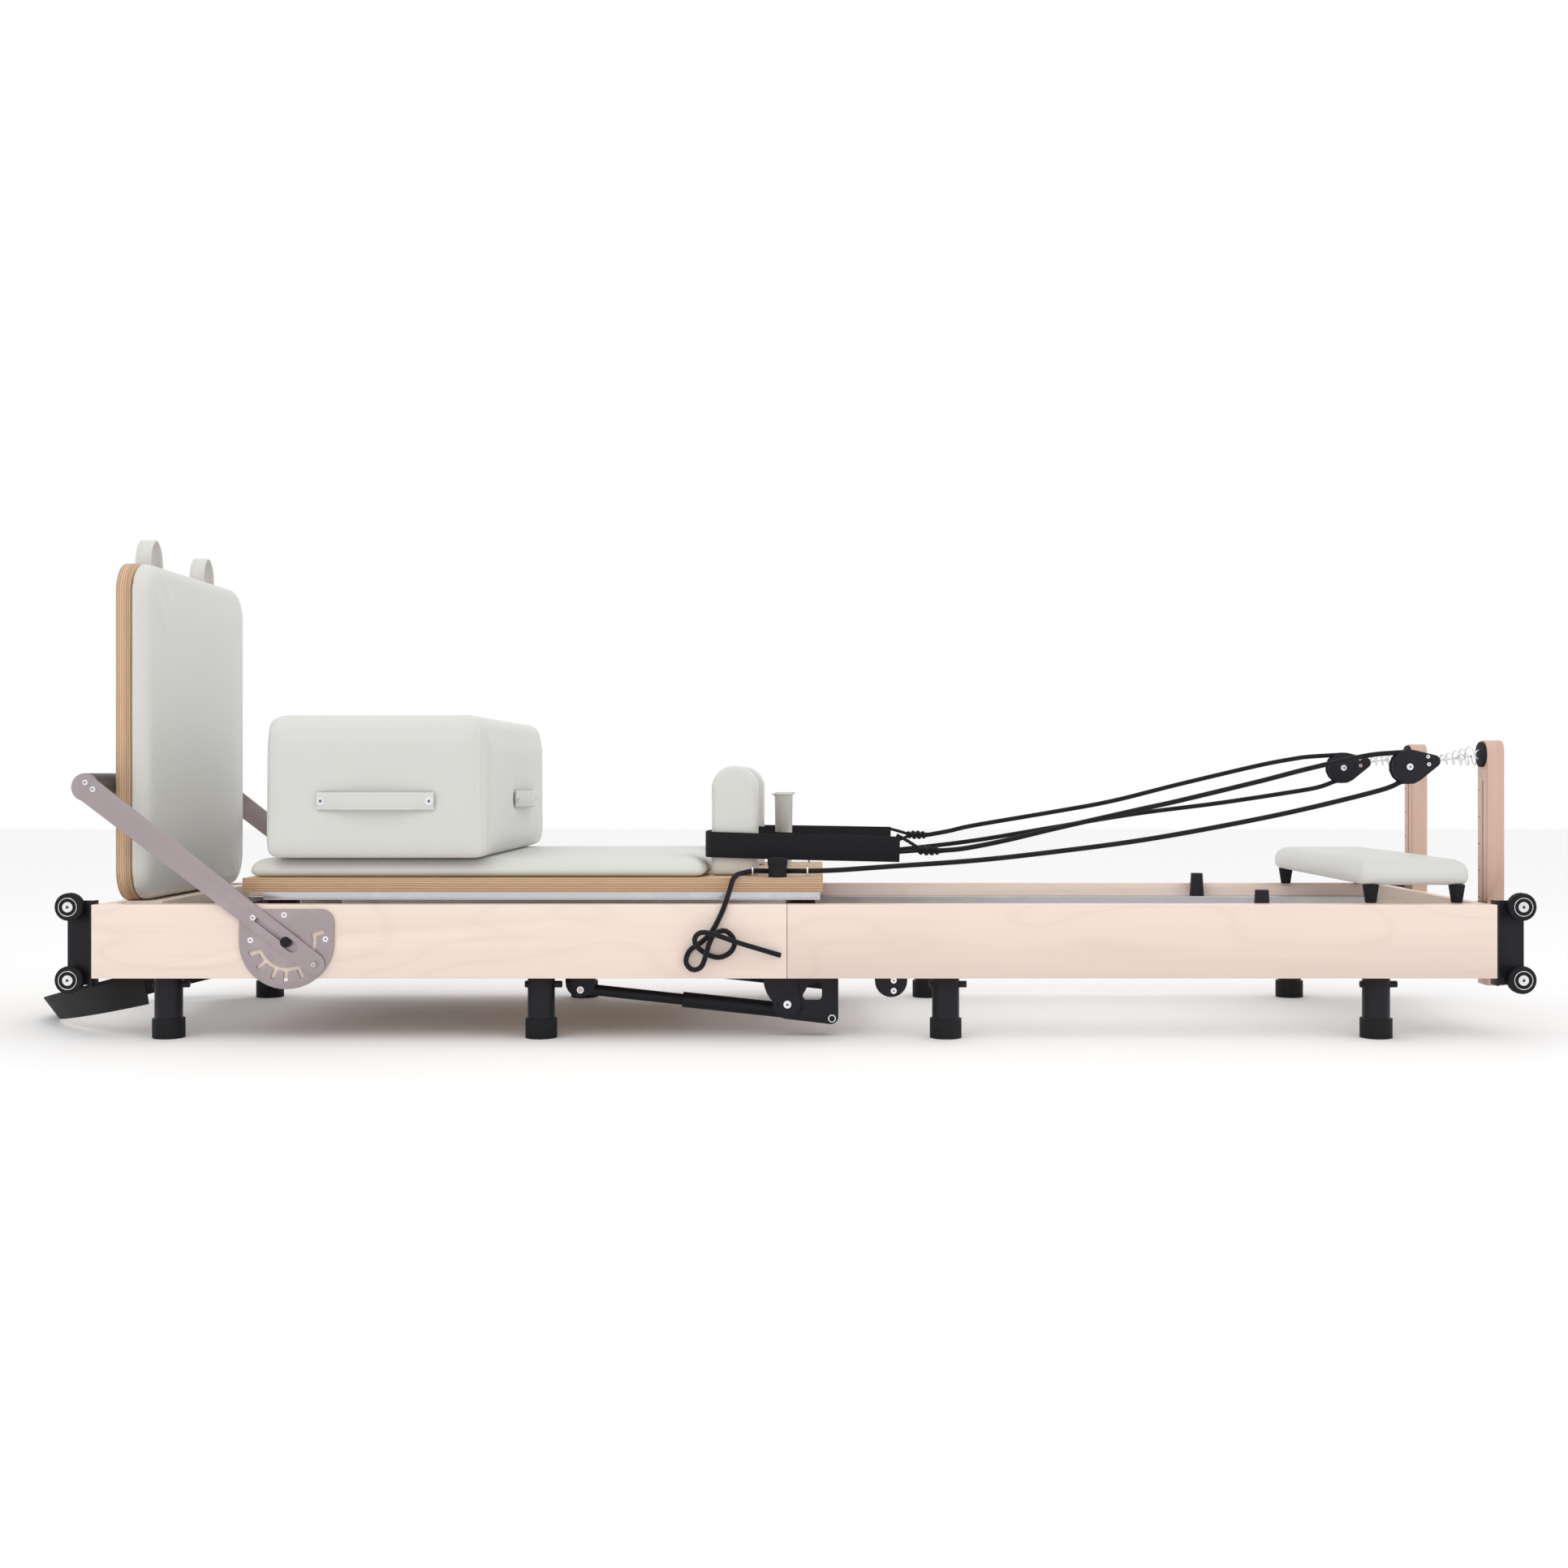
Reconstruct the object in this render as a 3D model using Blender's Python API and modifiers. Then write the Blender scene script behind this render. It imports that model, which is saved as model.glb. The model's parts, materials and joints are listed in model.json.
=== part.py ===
"""A folding pilates reformer: two wooden frame halves hinged under the middle, a rolling carriage,
a spring-loaded foot bar, a jump board, a sitting box, a standing platform and two roped pulleys.

Units are metres. +X runs from the foot end to the pulley end, -Y is the front rail, +Z is up,
and the floor is z = 0.
"""
import math

import bmesh
import bpy
from mathutils import Matrix, Vector

GAP = 0.0003                # clearance between pieces that touch
FRAME_LEFT = -1.142
FRAME_RIGHT = 1.258
FOLD_X = 0.0455             # where the two frame halves meet, and the fold hinge's axis
FOLD_SPLIT = 0.0005         # half of the gap between the halves
HINGE_Z = 0.057
FRAME_HALF_WIDTH = 0.330
RAIL_THICKNESS = 0.036
RAIL_BOTTOM = 0.106
RAIL_TOP = 0.232
BOARD_THICKNESS = 0.022
RAIL_INNER = FRAME_HALF_WIDTH - RAIL_THICKNESS
BOARD_HALF = RAIL_INNER - GAP

LEG_XS_LEFT = (-1.024, -0.380)
LEG_XS_RIGHT = (0.319, 1.063)
LEG_Y = 0.290
LEG_RADIUS = 0.0235
CAP_RADIUS = 0.0275
CAP_HEIGHT = 0.034

CROSS_TOP = 0.150           # top of the cross boards by the fold

TRACK_TOP = 0.2075
TRACK_DEPTH = 0.038
TRACK_WALL = 0.004

DECK_LEFT = -0.894
DECK_RIGHT = 0.107
DECK_HALF_WIDTH = 0.300
DECK_BOTTOM = 0.252
DECK_TOP = 0.276
ROLLER_RADIUS = 0.022
ROLLER_Z = TRACK_TOP + ROLLER_RADIUS
ROLLER_XS = (-0.835, 0.072)
AXLE_RADIUS = 0.004
AXLE_BORE = 0.0043
CLEAT_X = 0.028
CLEAT_Y = 0.277
SPRING_Z = 0.190
HOOK_X = -0.852             # the hook plate under the carriage
STOP_X = 0.870

WHEEL_RADIUS = 0.024
WHEEL_WIDTH = 0.020
WHEEL_OUTER_Y = 0.3335
WHEEL_XS = (-1.1814, 1.3016)
WHEEL_ZS = (0.228, 0.103)

BAR_PIVOT = Vector((-0.8079, 0.0, 0.1691))
BAR_TUBE = Vector((-1.150, 0.0, 0.4327))
BAR_TUBE_RADIUS = 0.024
LOCK_REACH = 0.0612         # from the foot bar's pivot to its lock pin
PULL_TRAVEL = 0.014
SHAFT_RADIUS = 0.0060
SHAFT_BORE = 0.0064
NOTCH_ANGLES = (222.3, 248.6, 268.7, 294.2, 319.4)
NOTCH_ENDS = (198.5, 374.0)

STRUT_Y = 0.245
STRUT_PIVOT = Vector((-0.3157, 0.0, 0.079))
STRUT_ANCHOR = Vector((0.1225, 0.0, 0.0323))

PULLEY_X = 1.146
PULLEY_Z = 0.468
PULLEY_Y = 0.203
POST_LEFT = 1.279
POST_RIGHT = 1.309
POST_HALF = 0.023
POST_BOTTOM = 0.082
POST_TOP = 0.515
EYE_Z = 0.490

ROPE_RADIUS = 0.0045
STRAP_BOTTOM = 0.3110
STRAP_TOP = 0.3520
STEPS = 20                  # segments of a plain round piece


def clear_scene():
    for thing in list(bpy.data.objects):
        bpy.data.objects.remove(thing, do_unlink=True)


def make_material(name, colour, roughness, metallic=0.0):
    material = bpy.data.materials.new(name)
    material.use_nodes = True
    shader = material.node_tree.nodes["Principled BSDF"]
    shader.inputs["Base Color"].default_value = (*colour, 1.0)
    shader.inputs["Roughness"].default_value = roughness
    shader.inputs["Metallic"].default_value = metallic
    return material


def make_materials():
    looks = {
        "maple": ((0.80, 0.68, 0.60), 0.45, 0.0),
        "post_wood": ((0.58, 0.38, 0.30), 0.45, 0.0),
        "plywood": ((0.70, 0.50, 0.33), 0.55, 0.0),
        "upholstery": ((0.63, 0.63, 0.60), 0.5, 0.0),
        "black_metal": ((0.015, 0.015, 0.022), 0.45, 0.0),
        "black_rubber": ((0.012, 0.012, 0.015), 0.7, 0.0),
        "steel": ((0.36, 0.32, 0.34), 0.35, 0.8),
        "aluminium": ((0.60, 0.60, 0.62), 0.35, 0.9),
        "chrome": ((0.80, 0.80, 0.80), 0.15, 1.0),
        "webbing": ((0.008, 0.008, 0.010), 0.85, 0.0),
        "rope": ((0.010, 0.010, 0.014), 0.8, 0.0),
    }
    return {name: make_material(name, *look) for name, look in looks.items()}


def add_box(mesh, low, high):
    """One closed box between two corners."""
    low, high = Vector(low), Vector(high)
    size = high - low
    place = Matrix.Translation((low + high) / 2) @ Matrix.Diagonal((*size, 1.0))
    bmesh.ops.create_cube(mesh, size=1.0, matrix=place)


def add_cone(mesh, start, end, radius_start, radius_end, steps=STEPS):
    """One closed cone or cylinder from start to end."""
    start, end = Vector(start), Vector(end)
    along = end - start
    turn = along.to_track_quat("Z", "Y").to_matrix().to_4x4()
    bmesh.ops.create_cone(mesh, cap_ends=True, segments=steps, radius1=radius_start,
                          radius2=radius_end, depth=along.length,
                          matrix=Matrix.Translation((start + end) / 2) @ turn)


def add_rod(mesh, start, end, radius, steps=STEPS):
    add_cone(mesh, start, end, radius, radius, steps)


def mirror_y(points):
    return [(x, -y, z) for x, y, z in points]


def new_object(name, data, collection_name="reformer"):
    thing = bpy.data.objects.new(name, data)
    bpy.data.collections[collection_name].objects.link(thing)
    return thing


def mesh_from(mesh, name):
    """A mesh data-block from a bmesh, with its faces turned outwards."""
    bmesh.ops.recalc_face_normals(mesh, faces=mesh.faces)
    data = bpy.data.meshes.new(name)
    mesh.to_mesh(data)
    mesh.free()
    return data


def node(name, mesh, material, origin=(0.0, 0.0, 0.0), bevel=0.0, segments=1):
    """A named sub-part from a bmesh, with its own origin and an optional rounded edge."""
    bmesh.ops.translate(mesh, verts=mesh.verts, vec=-Vector(origin))
    data = mesh_from(mesh, name)
    data.materials.append(material)
    thing = new_object(name, data)
    thing.location = origin
    data.shade_smooth()
    data.set_sharp_from_angle(angle=math.radians(40))
    if bevel:
        rounding = thing.modifiers.new("rounding", "BEVEL")
        rounding.width = bevel
        rounding.segments = segments
        rounding.limit_method = "ANGLE"
        rounding.angle_limit = math.radians(50)
    return thing


def arc(centre, radius, start, end, steps):
    """Points on a circle, from one angle in degrees to another, both included."""
    turns = [math.radians(start + (end - start) * n / steps) for n in range(steps + 1)]
    return [(centre[0] + radius * math.cos(t), centre[1] + radius * math.sin(t)) for t in turns]


def add_plate(mesh, outlines, low, high, plane="XZ"):
    """A flat plate with holes: closed outlines in a plane, from low to high across it."""
    curve = bpy.data.curves.new("outline", "CURVE")
    curve.dimensions = "2D"
    curve.fill_mode = "BOTH"
    curve.extrude = (high - low) / 2
    for outline in outlines:
        spline = curve.splines.new("POLY")
        spline.points.add(len(outline) - 1)
        spline.use_cyclic_u = True
        for point, (u, v) in zip(spline.points, outline):
            point.co = (u, v, 0.0, 1.0)
    middle = (low + high) / 2
    places = {
        "XZ": Matrix.Translation((0, middle, 0)) @ Matrix.Rotation(math.pi / 2, 4, "X"),
        "XY": Matrix.Translation((0, 0, middle)),
        "YZ": Matrix(((0, 0, 1, middle), (1, 0, 0, 0), (0, 1, 0, 0), (0, 0, 0, 1))),
    }
    add_curve(mesh, curve, places[plane])


def add_curve(mesh, curve, place=Matrix()):
    """Turns a curve data-block into closed mesh solids, in the place given."""
    thing = bpy.data.objects.new("shape", curve)
    bpy.context.scene.collection.objects.link(thing)
    depsgraph = bpy.context.evaluated_depsgraph_get()
    data = bpy.data.meshes.new_from_object(thing.evaluated_get(depsgraph))
    bpy.data.objects.remove(thing, do_unlink=True)
    bpy.data.curves.remove(curve)
    data.transform(place)
    piece = bmesh.new()
    piece.from_mesh(data)
    bpy.data.meshes.remove(data)
    bmesh.ops.remove_doubles(piece, verts=piece.verts, dist=0.00002)
    bmesh.ops.recalc_face_normals(piece, faces=piece.faces)
    join(mesh, piece)


def join(mesh, piece):
    """Adds a bmesh's solids to another."""
    data = bpy.data.meshes.new("piece")
    piece.to_mesh(data)
    piece.free()
    mesh.from_mesh(data)
    bpy.data.meshes.remove(data)


def add_tube(mesh, points, radius, resolution=2):
    """A round tube with flat caps along a list of points."""
    curve = bpy.data.curves.new("route", "CURVE")
    curve.dimensions = "3D"
    curve.bevel_depth = radius
    curve.bevel_resolution = resolution
    curve.use_fill_caps = True
    spline = curve.splines.new("POLY")
    spline.points.add(len(points) - 1)
    for point, place in zip(spline.points, points):
        point.co = (*place, 1.0)
    add_curve(mesh, curve)


def add_turned(mesh, profile, place, steps=STEPS):
    """A ring: a closed profile of (radius, height) turned about Z, then put in its place."""
    data = bpy.data.meshes.new("profile")
    count = len(profile)
    edges = [(n, (n + 1) % count) for n in range(count)]
    data.from_pydata([(r, 0.0, h) for r, h in profile], edges, [])
    thing = bpy.data.objects.new("turned", data)
    bpy.context.scene.collection.objects.link(thing)
    screw = thing.modifiers.new("turn", "SCREW")
    screw.steps = steps
    screw.render_steps = steps
    screw.use_merge_vertices = True
    screw.merge_threshold = 0.00001
    depsgraph = bpy.context.evaluated_depsgraph_get()
    turned = bpy.data.meshes.new_from_object(thing.evaluated_get(depsgraph))
    bpy.data.objects.remove(thing, do_unlink=True)
    turned.transform(place)
    piece = bmesh.new()
    piece.from_mesh(turned)
    bpy.data.meshes.remove(turned)
    bmesh.ops.recalc_face_normals(piece, faces=piece.faces)
    join(mesh, piece)


def facing_y(x, y, z):
    """The place of a turned shape whose axis lies along Y."""
    return Matrix.Translation((x, y, z)) @ Matrix.Rotation(math.pi / 2, 4, "X")


def boolean(name, target, other, operation):
    """Joins or cuts two bmeshes exactly, and gives the result as a bmesh."""
    pieces = []
    for piece in (target, other):
        thing = bpy.data.objects.new(name, mesh_from(piece, name))
        bpy.data.collections["cutters"].objects.link(thing)
        pieces.append(thing)
    cut = pieces[0].modifiers.new("cut", "BOOLEAN")
    cut.operation = operation
    cut.object = pieces[1]
    cut.solver = "EXACT"
    depsgraph = bpy.context.evaluated_depsgraph_get()
    data = bpy.data.meshes.new_from_object(pieces[0].evaluated_get(depsgraph))
    for thing in pieces:
        bpy.data.objects.remove(thing, do_unlink=True)
    result = bmesh.new()
    result.from_mesh(data)
    bpy.data.meshes.remove(data)
    bmesh.ops.dissolve_degenerate(result, dist=0.000002, edges=result.edges)
    return result


def hull_of_circles(first, first_radius, second, second_radius, steps=10):
    """The outline round two circles and their outer tangents."""
    across = Vector(second) - Vector(first)
    heading = math.degrees(math.atan2(across.y, across.x))
    lean = math.degrees(math.acos((first_radius - second_radius) / across.length))
    return (arc(second, second_radius, heading - lean, heading + lean, steps)
            + arc(first, first_radius, heading + lean, heading + 360 - lean, steps))


def smooth_route(points, spacing):
    """Points at an even spacing on a smooth curve through the route's own points."""
    points = [Vector(point) for point in points]
    ends = [2 * points[0] - points[1], *points, 2 * points[-1] - points[-2]]
    fine = []
    for n in range(1, len(ends) - 2):
        a, b, c, d = ends[n - 1:n + 3]
        for step in range(20):
            t = step / 20
            fine.append(0.5 * (2 * b + (c - a) * t + (2 * a - 5 * b + 4 * c - d) * t ** 2
                               + (3 * b - a - 3 * c + d) * t ** 3))
    fine.append(points[-1])
    lengths = [0.0]
    for before, after in zip(fine, fine[1:]):
        lengths.append(lengths[-1] + (after - before).length)
    count = round(lengths[-1] / spacing)
    route, at = [], 0
    for n in range(count + 1):
        wanted = lengths[-1] * n / count
        while at < len(fine) - 2 and lengths[at + 1] < wanted:
            at += 1
        share = (wanted - lengths[at]) / max(lengths[at + 1] - lengths[at], 1e-9)
        route.append(fine[at].lerp(fine[at + 1], min(share, 1.0)))
    return route


def both_sides(low_y, high_y):
    """The same span on the front (-Y) and the rear (+Y) side."""
    return ((-high_y, -low_y), (low_y, high_y))


# ---- the two frame halves -------------------------------------------------------------------

def frame_rails(left, right):
    rails = bmesh.new()
    for low, high in both_sides(RAIL_INNER, FRAME_HALF_WIDTH):
        add_box(rails, (left, low, RAIL_BOTTOM), (right, high, RAIL_TOP))
    return rails


def frame_tracks(left, right):
    """The ledges along the rails' inner faces that the carriage rolls on."""
    tracks = bmesh.new()
    face = RAIL_INNER + 0.002
    ledge = RAIL_INNER - TRACK_DEPTH
    wall = RAIL_INNER - TRACK_WALL
    shape = [(face, 0.165), (face, TRACK_TOP), (ledge, TRACK_TOP), (ledge, TRACK_TOP - TRACK_WALL),
             (wall, TRACK_TOP - TRACK_WALL), (wall, 0.165)]
    add_plate(tracks, [shape], left, right, "YZ")
    add_plate(tracks, [[(-y, z) for y, z in shape]], left, right, "YZ")
    return tracks


def frame_boards(*spans):
    """Boards across the frame, let a little into the rails: (left, right, top) for each."""
    boards = bmesh.new()
    half = RAIL_INNER + 0.006
    for left, right, top in spans:
        add_box(boards, (left, -half, RAIL_BOTTOM + 0.001), (right, half, top))
    return boards


def unite(name, first, *others):
    for other in others:
        first = boolean(name, first, other, "UNION")
    return first


def build_left_frame(looks):
    """Rails, end board with the jump board's shelf, cross board, tracks and strut brackets."""
    fold = FOLD_X - FOLD_SPLIT
    outer = FRAME_LEFT + BOARD_THICKNESS
    boards = frame_boards((FRAME_LEFT + 0.001, outer, RAIL_TOP - 0.001),
                          (fold - 0.092, fold - 0.070, CROSS_TOP))
    shelf = bmesh.new()
    add_box(shelf, (outer - 0.004, -BOARD_HALF + 0.05, 0.212), (-1.052, BOARD_HALF - 0.05, RAIL_TOP))
    ears, spacers, pins = bmesh.new(), bmesh.new(), bmesh.new()
    x, z = STRUT_PIVOT.x, STRUT_PIVOT.z
    ear = [(x + 0.026, 0.150), (x - 0.026, 0.150)] + arc((x, 0.092), 0.026, 180, 360, 10)
    for sign in (-1, 1):
        add_plate(ears, [ear], *sorted((sign * 0.2620, sign * 0.2660)))
        low, high = sorted((sign * 0.2640, sign * (RAIL_INNER + 0.002)))
        add_box(spacers, (x - 0.020, low, 0.116), (x + 0.020, high, 0.146))
        add_rod(pins, (x, sign * 0.2320, z), (x, sign * 0.2700, z), AXLE_RADIUS, 12)
    frame = unite("left_frame", frame_rails(FRAME_LEFT, fold), boards, shelf,
                  frame_tracks(outer - 0.002, fold - 0.001), ears, spacers, pins)
    bores = bmesh.new()
    for sign in (-1, 1):
        add_rod(bores, (BAR_PIVOT.x, sign * 0.27, BAR_PIVOT.z),
                (BAR_PIVOT.x, sign * 0.36, BAR_PIVOT.z), SHAFT_BORE, 16)
    frame = boolean("left_frame", frame, bores, "DIFFERENCE")
    node("left_frame", frame, looks["maple"])


def build_right_frame(looks):
    """Rails, end board, cross board, tracks, catch plates, stops and the pulley posts' guides."""
    fold = FOLD_X + FOLD_SPLIT
    inner = FRAME_RIGHT - BOARD_THICKNESS
    boards = frame_boards((inner, FRAME_RIGHT - 0.001, RAIL_TOP - 0.001),
                          (fold + 0.096, fold + 0.118, CROSS_TOP))
    guides, bolts, knobs = bmesh.new(), bmesh.new(), bmesh.new()
    catches, stops = bmesh.new(), bmesh.new()
    catch = [(0.2525, 0.150), (0.1965, 0.150)] + arc((0.2245, 0.098), 0.028, 180, 360, 12)
    for sign in (-1, 1):
        y = sign * PULLEY_Y
        add_box(guides, (FRAME_RIGHT - 0.004, y - POST_HALF, 0.112),
                (POST_LEFT - GAP, y + POST_HALF, RAIL_TOP - 0.004))
        for z in (0.135, 0.205):
            add_rod(bolts, (POST_LEFT - 0.006, y, z), (POST_RIGHT + 0.006, y, z), 0.003, 10)
            add_rod(knobs, (POST_RIGHT + 0.0010, y, z), (POST_RIGHT + 0.0135, y, z), 0.011, 14)
        add_plate(catches, [catch], *sorted((sign * 0.2890, sign * (RAIL_INNER + 0.002))))
        add_cone(stops, (STOP_X, sign * 0.272, TRACK_TOP - 0.002), (STOP_X, sign * 0.272, 0.254),
                 0.015, 0.012, 16)
    frame = unite("right_frame", frame_rails(fold, FRAME_RIGHT), boards,
                  frame_tracks(fold + 0.001, inner + 0.002), guides, bolts, knobs, catches, stops)
    node("right_frame", frame, looks["maple"])


def build_legs(side, leg_xs, looks):
    """Each leg: a tube with a rubber cap and the knob that clamps it."""
    for place, x in zip(("outer", "inner") if side == "left" else ("inner", "outer"), leg_xs):
        for row, y in (("front", -LEG_Y), ("rear", LEG_Y)):
            tube, cap, knob = bmesh.new(), bmesh.new(), bmesh.new()
            add_rod(tube, (x, y, CAP_HEIGHT - 0.004), (x, y, RAIL_BOTTOM - GAP), LEG_RADIUS)
            add_rod(cap, (x, y, 0.0), (x, y, CAP_HEIGHT), CAP_RADIUS)
            add_rod(knob, (x - 0.028, y, 0.092), (x + 0.036, y, 0.092), 0.006, 10)
            leg = unite("leg", tube, cap, knob)
            node(f"{side}_{place}_{row}_leg", leg, looks["black_metal"])


def build_hinge_plates(looks):
    """Fan-shaped plates with the fold pins on the left, corner plates with openings on the right."""
    pivot = (FOLD_X, HINGE_Z)
    fan = (arc(pivot, 0.024, -95, 35, 8) + [(FOLD_X + 0.012, 0.150), (-0.018, 0.150)]
           + arc((FOLD_X + 0.020, 0.104), 0.062, 180, 232, 6))
    bore = arc(pivot, AXLE_BORE, 360, 0, 12)[:-1]
    corner = ([(FOLD_X - 0.006, 0.150), (FOLD_X - 0.020, 0.150), (FOLD_X - 0.024, 0.066)]
              + arc(pivot, 0.0255, 180, 262, 5)
              + arc((FOLD_X + 0.075, 0.0355), 0.013, 265, 360, 5)
              + [(FOLD_X + 0.088, 0.150)])
    small = arc((FOLD_X + 0.0015, 0.0865), 0.0058, 360, 0, 10)[:-1]
    window = ([(0.082, 0.0905), (0.091, 0.090), (0.0935, 0.0955)]
              + arc((0.0985, 0.0895), 0.0065, 90, 0, 3)
              + arc((0.0985, 0.071), 0.0065, 0, -90, 3)
              + arc((0.079, 0.0715), 0.007, -90, -200, 4))
    for row, sign in (("front", -1), ("rear", 1)):
        plate, pin = bmesh.new(), bmesh.new()
        add_plate(plate, [fan], *sorted((sign * 0.2897, sign * (RAIL_INNER - GAP))))
        add_rod(pin, (FOLD_X, sign * 0.2830, HINGE_Z), (FOLD_X, sign * 0.2960, HINGE_Z),
                AXLE_RADIUS, 12)
        node(f"left_{row}_hinge_plate", unite("plate", plate, pin), looks["black_metal"])
        plate, bolt = bmesh.new(), bmesh.new()
        add_plate(plate, [corner, bore, small, window], *sorted((sign * 0.2853, sign * 0.2893)))
        add_rod(bolt, (STRUT_ANCHOR.x, sign * 0.2620, STRUT_ANCHOR.z),
                (STRUT_ANCHOR.x, sign * 0.2930, STRUT_ANCHOR.z), 0.005, 12)
        node(f"right_{row}_hinge_plate", unite("plate", plate, bolt), looks["black_metal"])


def build_wheel_brackets(looks):
    """Angles on the rails' ends, each with the axle pins of an upper and a lower wheel."""
    inner, outer = 0.3075, 0.3115
    bottom, top = WHEEL_ZS[1] - 0.010, WHEEL_ZS[0] + 0.010
    for side, rail, wheel in (("left", FRAME_LEFT, WHEEL_XS[0]), ("right", FRAME_RIGHT, WHEEL_XS[1])):
        away = 1 if wheel > rail else -1
        face, flange = rail + away * GAP, rail + away * (GAP + 0.004)
        tip = wheel + away * 0.009
        flat = [(face, 0.328), (flange, 0.328), (flange, outer), (tip, outer), (tip, inner),
                (flange, inner), (flange, 0.297), (face, 0.297)]
        for row, sign in (("front", -1), ("rear", 1)):
            plate, pins = bmesh.new(), bmesh.new()
            add_plate(plate, [[(x, sign * y) for x, y in flat]], bottom, top, "XY")
            for z in WHEEL_ZS:
                add_rod(pins, (wheel, sign * (outer - 0.002), z), (wheel, sign * 0.3320, z),
                        AXLE_RADIUS, 12)
            node(f"{side}_{row}_wheel_bracket", unite("bracket", plate, pins), looks["black_metal"])


def build_wheels(looks):
    """Eight transport wheels, an upper and a lower one at each corner."""
    profile = [(AXLE_BORE, 0.0), (0.0105, 0.0), (0.0115, 0.0015), (0.0215, 0.0015),
               (WHEEL_RADIUS, 0.004), (WHEEL_RADIUS, WHEEL_WIDTH - 0.004),
               (0.0215, WHEEL_WIDTH), (AXLE_BORE, WHEEL_WIDTH)]
    for side, x in zip(("left", "right"), WHEEL_XS):
        for level, z in zip(("upper", "lower"), WHEEL_ZS):
            for row, sign in (("front", -1), ("rear", 1)):
                wheel = bmesh.new()
                turn = Matrix.Rotation(sign * math.pi / 2, 4, "X")
                add_turned(wheel, profile, Matrix.Translation((x, sign * WHEEL_OUTER_Y, z)) @ turn)
                node(f"{side}_{row}_{level}_wheel", wheel, looks["black_rubber"], origin=(x, 0, z))


# ---- foot bar -------------------------------------------------------------------------------

def notch_slot():
    """The arc slot of the notch plate, with a notch for each height of the foot bar."""
    centre = (BAR_PIVOT.x, BAR_PIVOT.z)
    inner, outer, depth, half = 0.0440, 0.0515, 0.0675, 4.0
    first, last = NOTCH_ENDS
    points = arc(centre, inner, last + half, first - half, 30)
    points += arc(centre, depth, first - half, first + half, 1)
    at = first + half
    for notch in NOTCH_ANGLES:
        points += arc(centre, outer, at, notch - half, 3)
        points += arc(centre, depth, notch - half * 0.75, notch + half * 0.75, 2)
        at = notch + half
    points += arc(centre, outer, at, last - half, 5)
    points += arc(centre, depth, last - half, last + half, 1)
    return points


def build_notch_plates(looks):
    """D-shaped plates on the rails' outer faces, which lock the foot bar."""
    x, z, top, corner = BAR_PIVOT.x, BAR_PIVOT.z, 0.225, 0.022
    half = 0.081
    outline = (arc((x, z), half, 180, 360, 24)
               + arc((x + half - corner, top - corner), corner, 0, 90, 4)
               + arc((x - half + corner, top - corner), corner, 90, 180, 4))
    bore = arc((x, z), SHAFT_BORE, 360, 0, 16)[:-1]
    for row, sign in (("front", -1), ("rear", 1)):
        plate = bmesh.new()
        low, high = sorted((sign * (FRAME_HALF_WIDTH + GAP), sign * (FRAME_HALF_WIDTH + 0.0043)))
        add_plate(plate, [outline, notch_slot(), bore], low, high)
        node(f"{row}_notch_plate", plate, looks["steel"])


def build_foot_bar(looks):
    """Two flat arms with a keyhole slot on a padded cross tube, and the shaft they turn on."""
    up = (BAR_TUBE - BAR_PIVOT).normalized()
    lock = BAR_PIVOT - up * LOCK_REACH
    side = Vector((-up.z, 0.0, up.x))
    pivot = (BAR_PIVOT.x, BAR_PIVOT.z)
    heading = math.degrees(math.atan2(up.z, up.x))
    outline = hull_of_circles((BAR_TUBE.x, BAR_TUBE.z), 0.0215, (lock.x, lock.z), 0.018, 12)
    bush_slot, channel = 0.0093, 0.0040
    mouth = math.degrees(math.asin(channel / bush_slot))
    low_end = BAR_PIVOT - up * PULL_TRAVEL
    keyhole = arc(pivot, bush_slot, heading + mouth, heading + 90, 4)
    keyhole += arc((low_end.x, low_end.z), bush_slot, heading + 90, heading + 270, 8)
    keyhole += arc(pivot, bush_slot, heading + 270, heading + 360 - mouth, 4)
    tip = BAR_PIVOT + up * 0.064
    for sign in (-1, 1):
        corner = tip + side * channel * sign
        keyhole.append((corner.x, corner.z))
    arms, pins, tube = bmesh.new(), bmesh.new(), bmesh.new()
    for sign in (-1, 1):
        add_plate(arms, [outline, keyhole[::-1]], *sorted((sign * 0.3349, sign * 0.3399)))
        add_rod(pins, (lock.x, sign * 0.3380, lock.z), (lock.x, sign * 0.3430, lock.z), 0.0065, 14)
    add_rod(tube, (BAR_TUBE.x, -0.3360, BAR_TUBE.z), (BAR_TUBE.x, 0.3360, BAR_TUBE.z),
            BAR_TUBE_RADIUS, 28)
    node("foot_bar", unite("foot_bar", arms, pins, tube), looks["steel"], origin=BAR_PIVOT)

    shaft, bushes = bmesh.new(), bmesh.new()
    add_rod(shaft, (BAR_PIVOT.x, -0.3440, BAR_PIVOT.z), (BAR_PIVOT.x, 0.3440, BAR_PIVOT.z),
            SHAFT_RADIUS, 16)
    for sign in (-1, 1):
        add_rod(bushes, (BAR_PIVOT.x, sign * 0.3347, BAR_PIVOT.z),
                (BAR_PIVOT.x, sign * 0.3410, BAR_PIVOT.z), 0.0088, 16)
    node("foot_bar_shaft", unite("shaft", shaft, bushes), looks["black_metal"], origin=BAR_PIVOT)


def foot_strap_outline():
    """The foot strap's U in plan, as a smooth route from the front rail round to the rear rail."""
    half = [(-1.062, -0.2915, 0.0), (-1.155, -0.235, 0.0), (-1.242, -0.150, 0.0),
            (-1.292, -0.075, 0.0), (-1.3076, 0.0, 0.0)]
    rear = mirror_y(half[-2::-1])
    return smooth_route(half + rear, 0.030)


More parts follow.
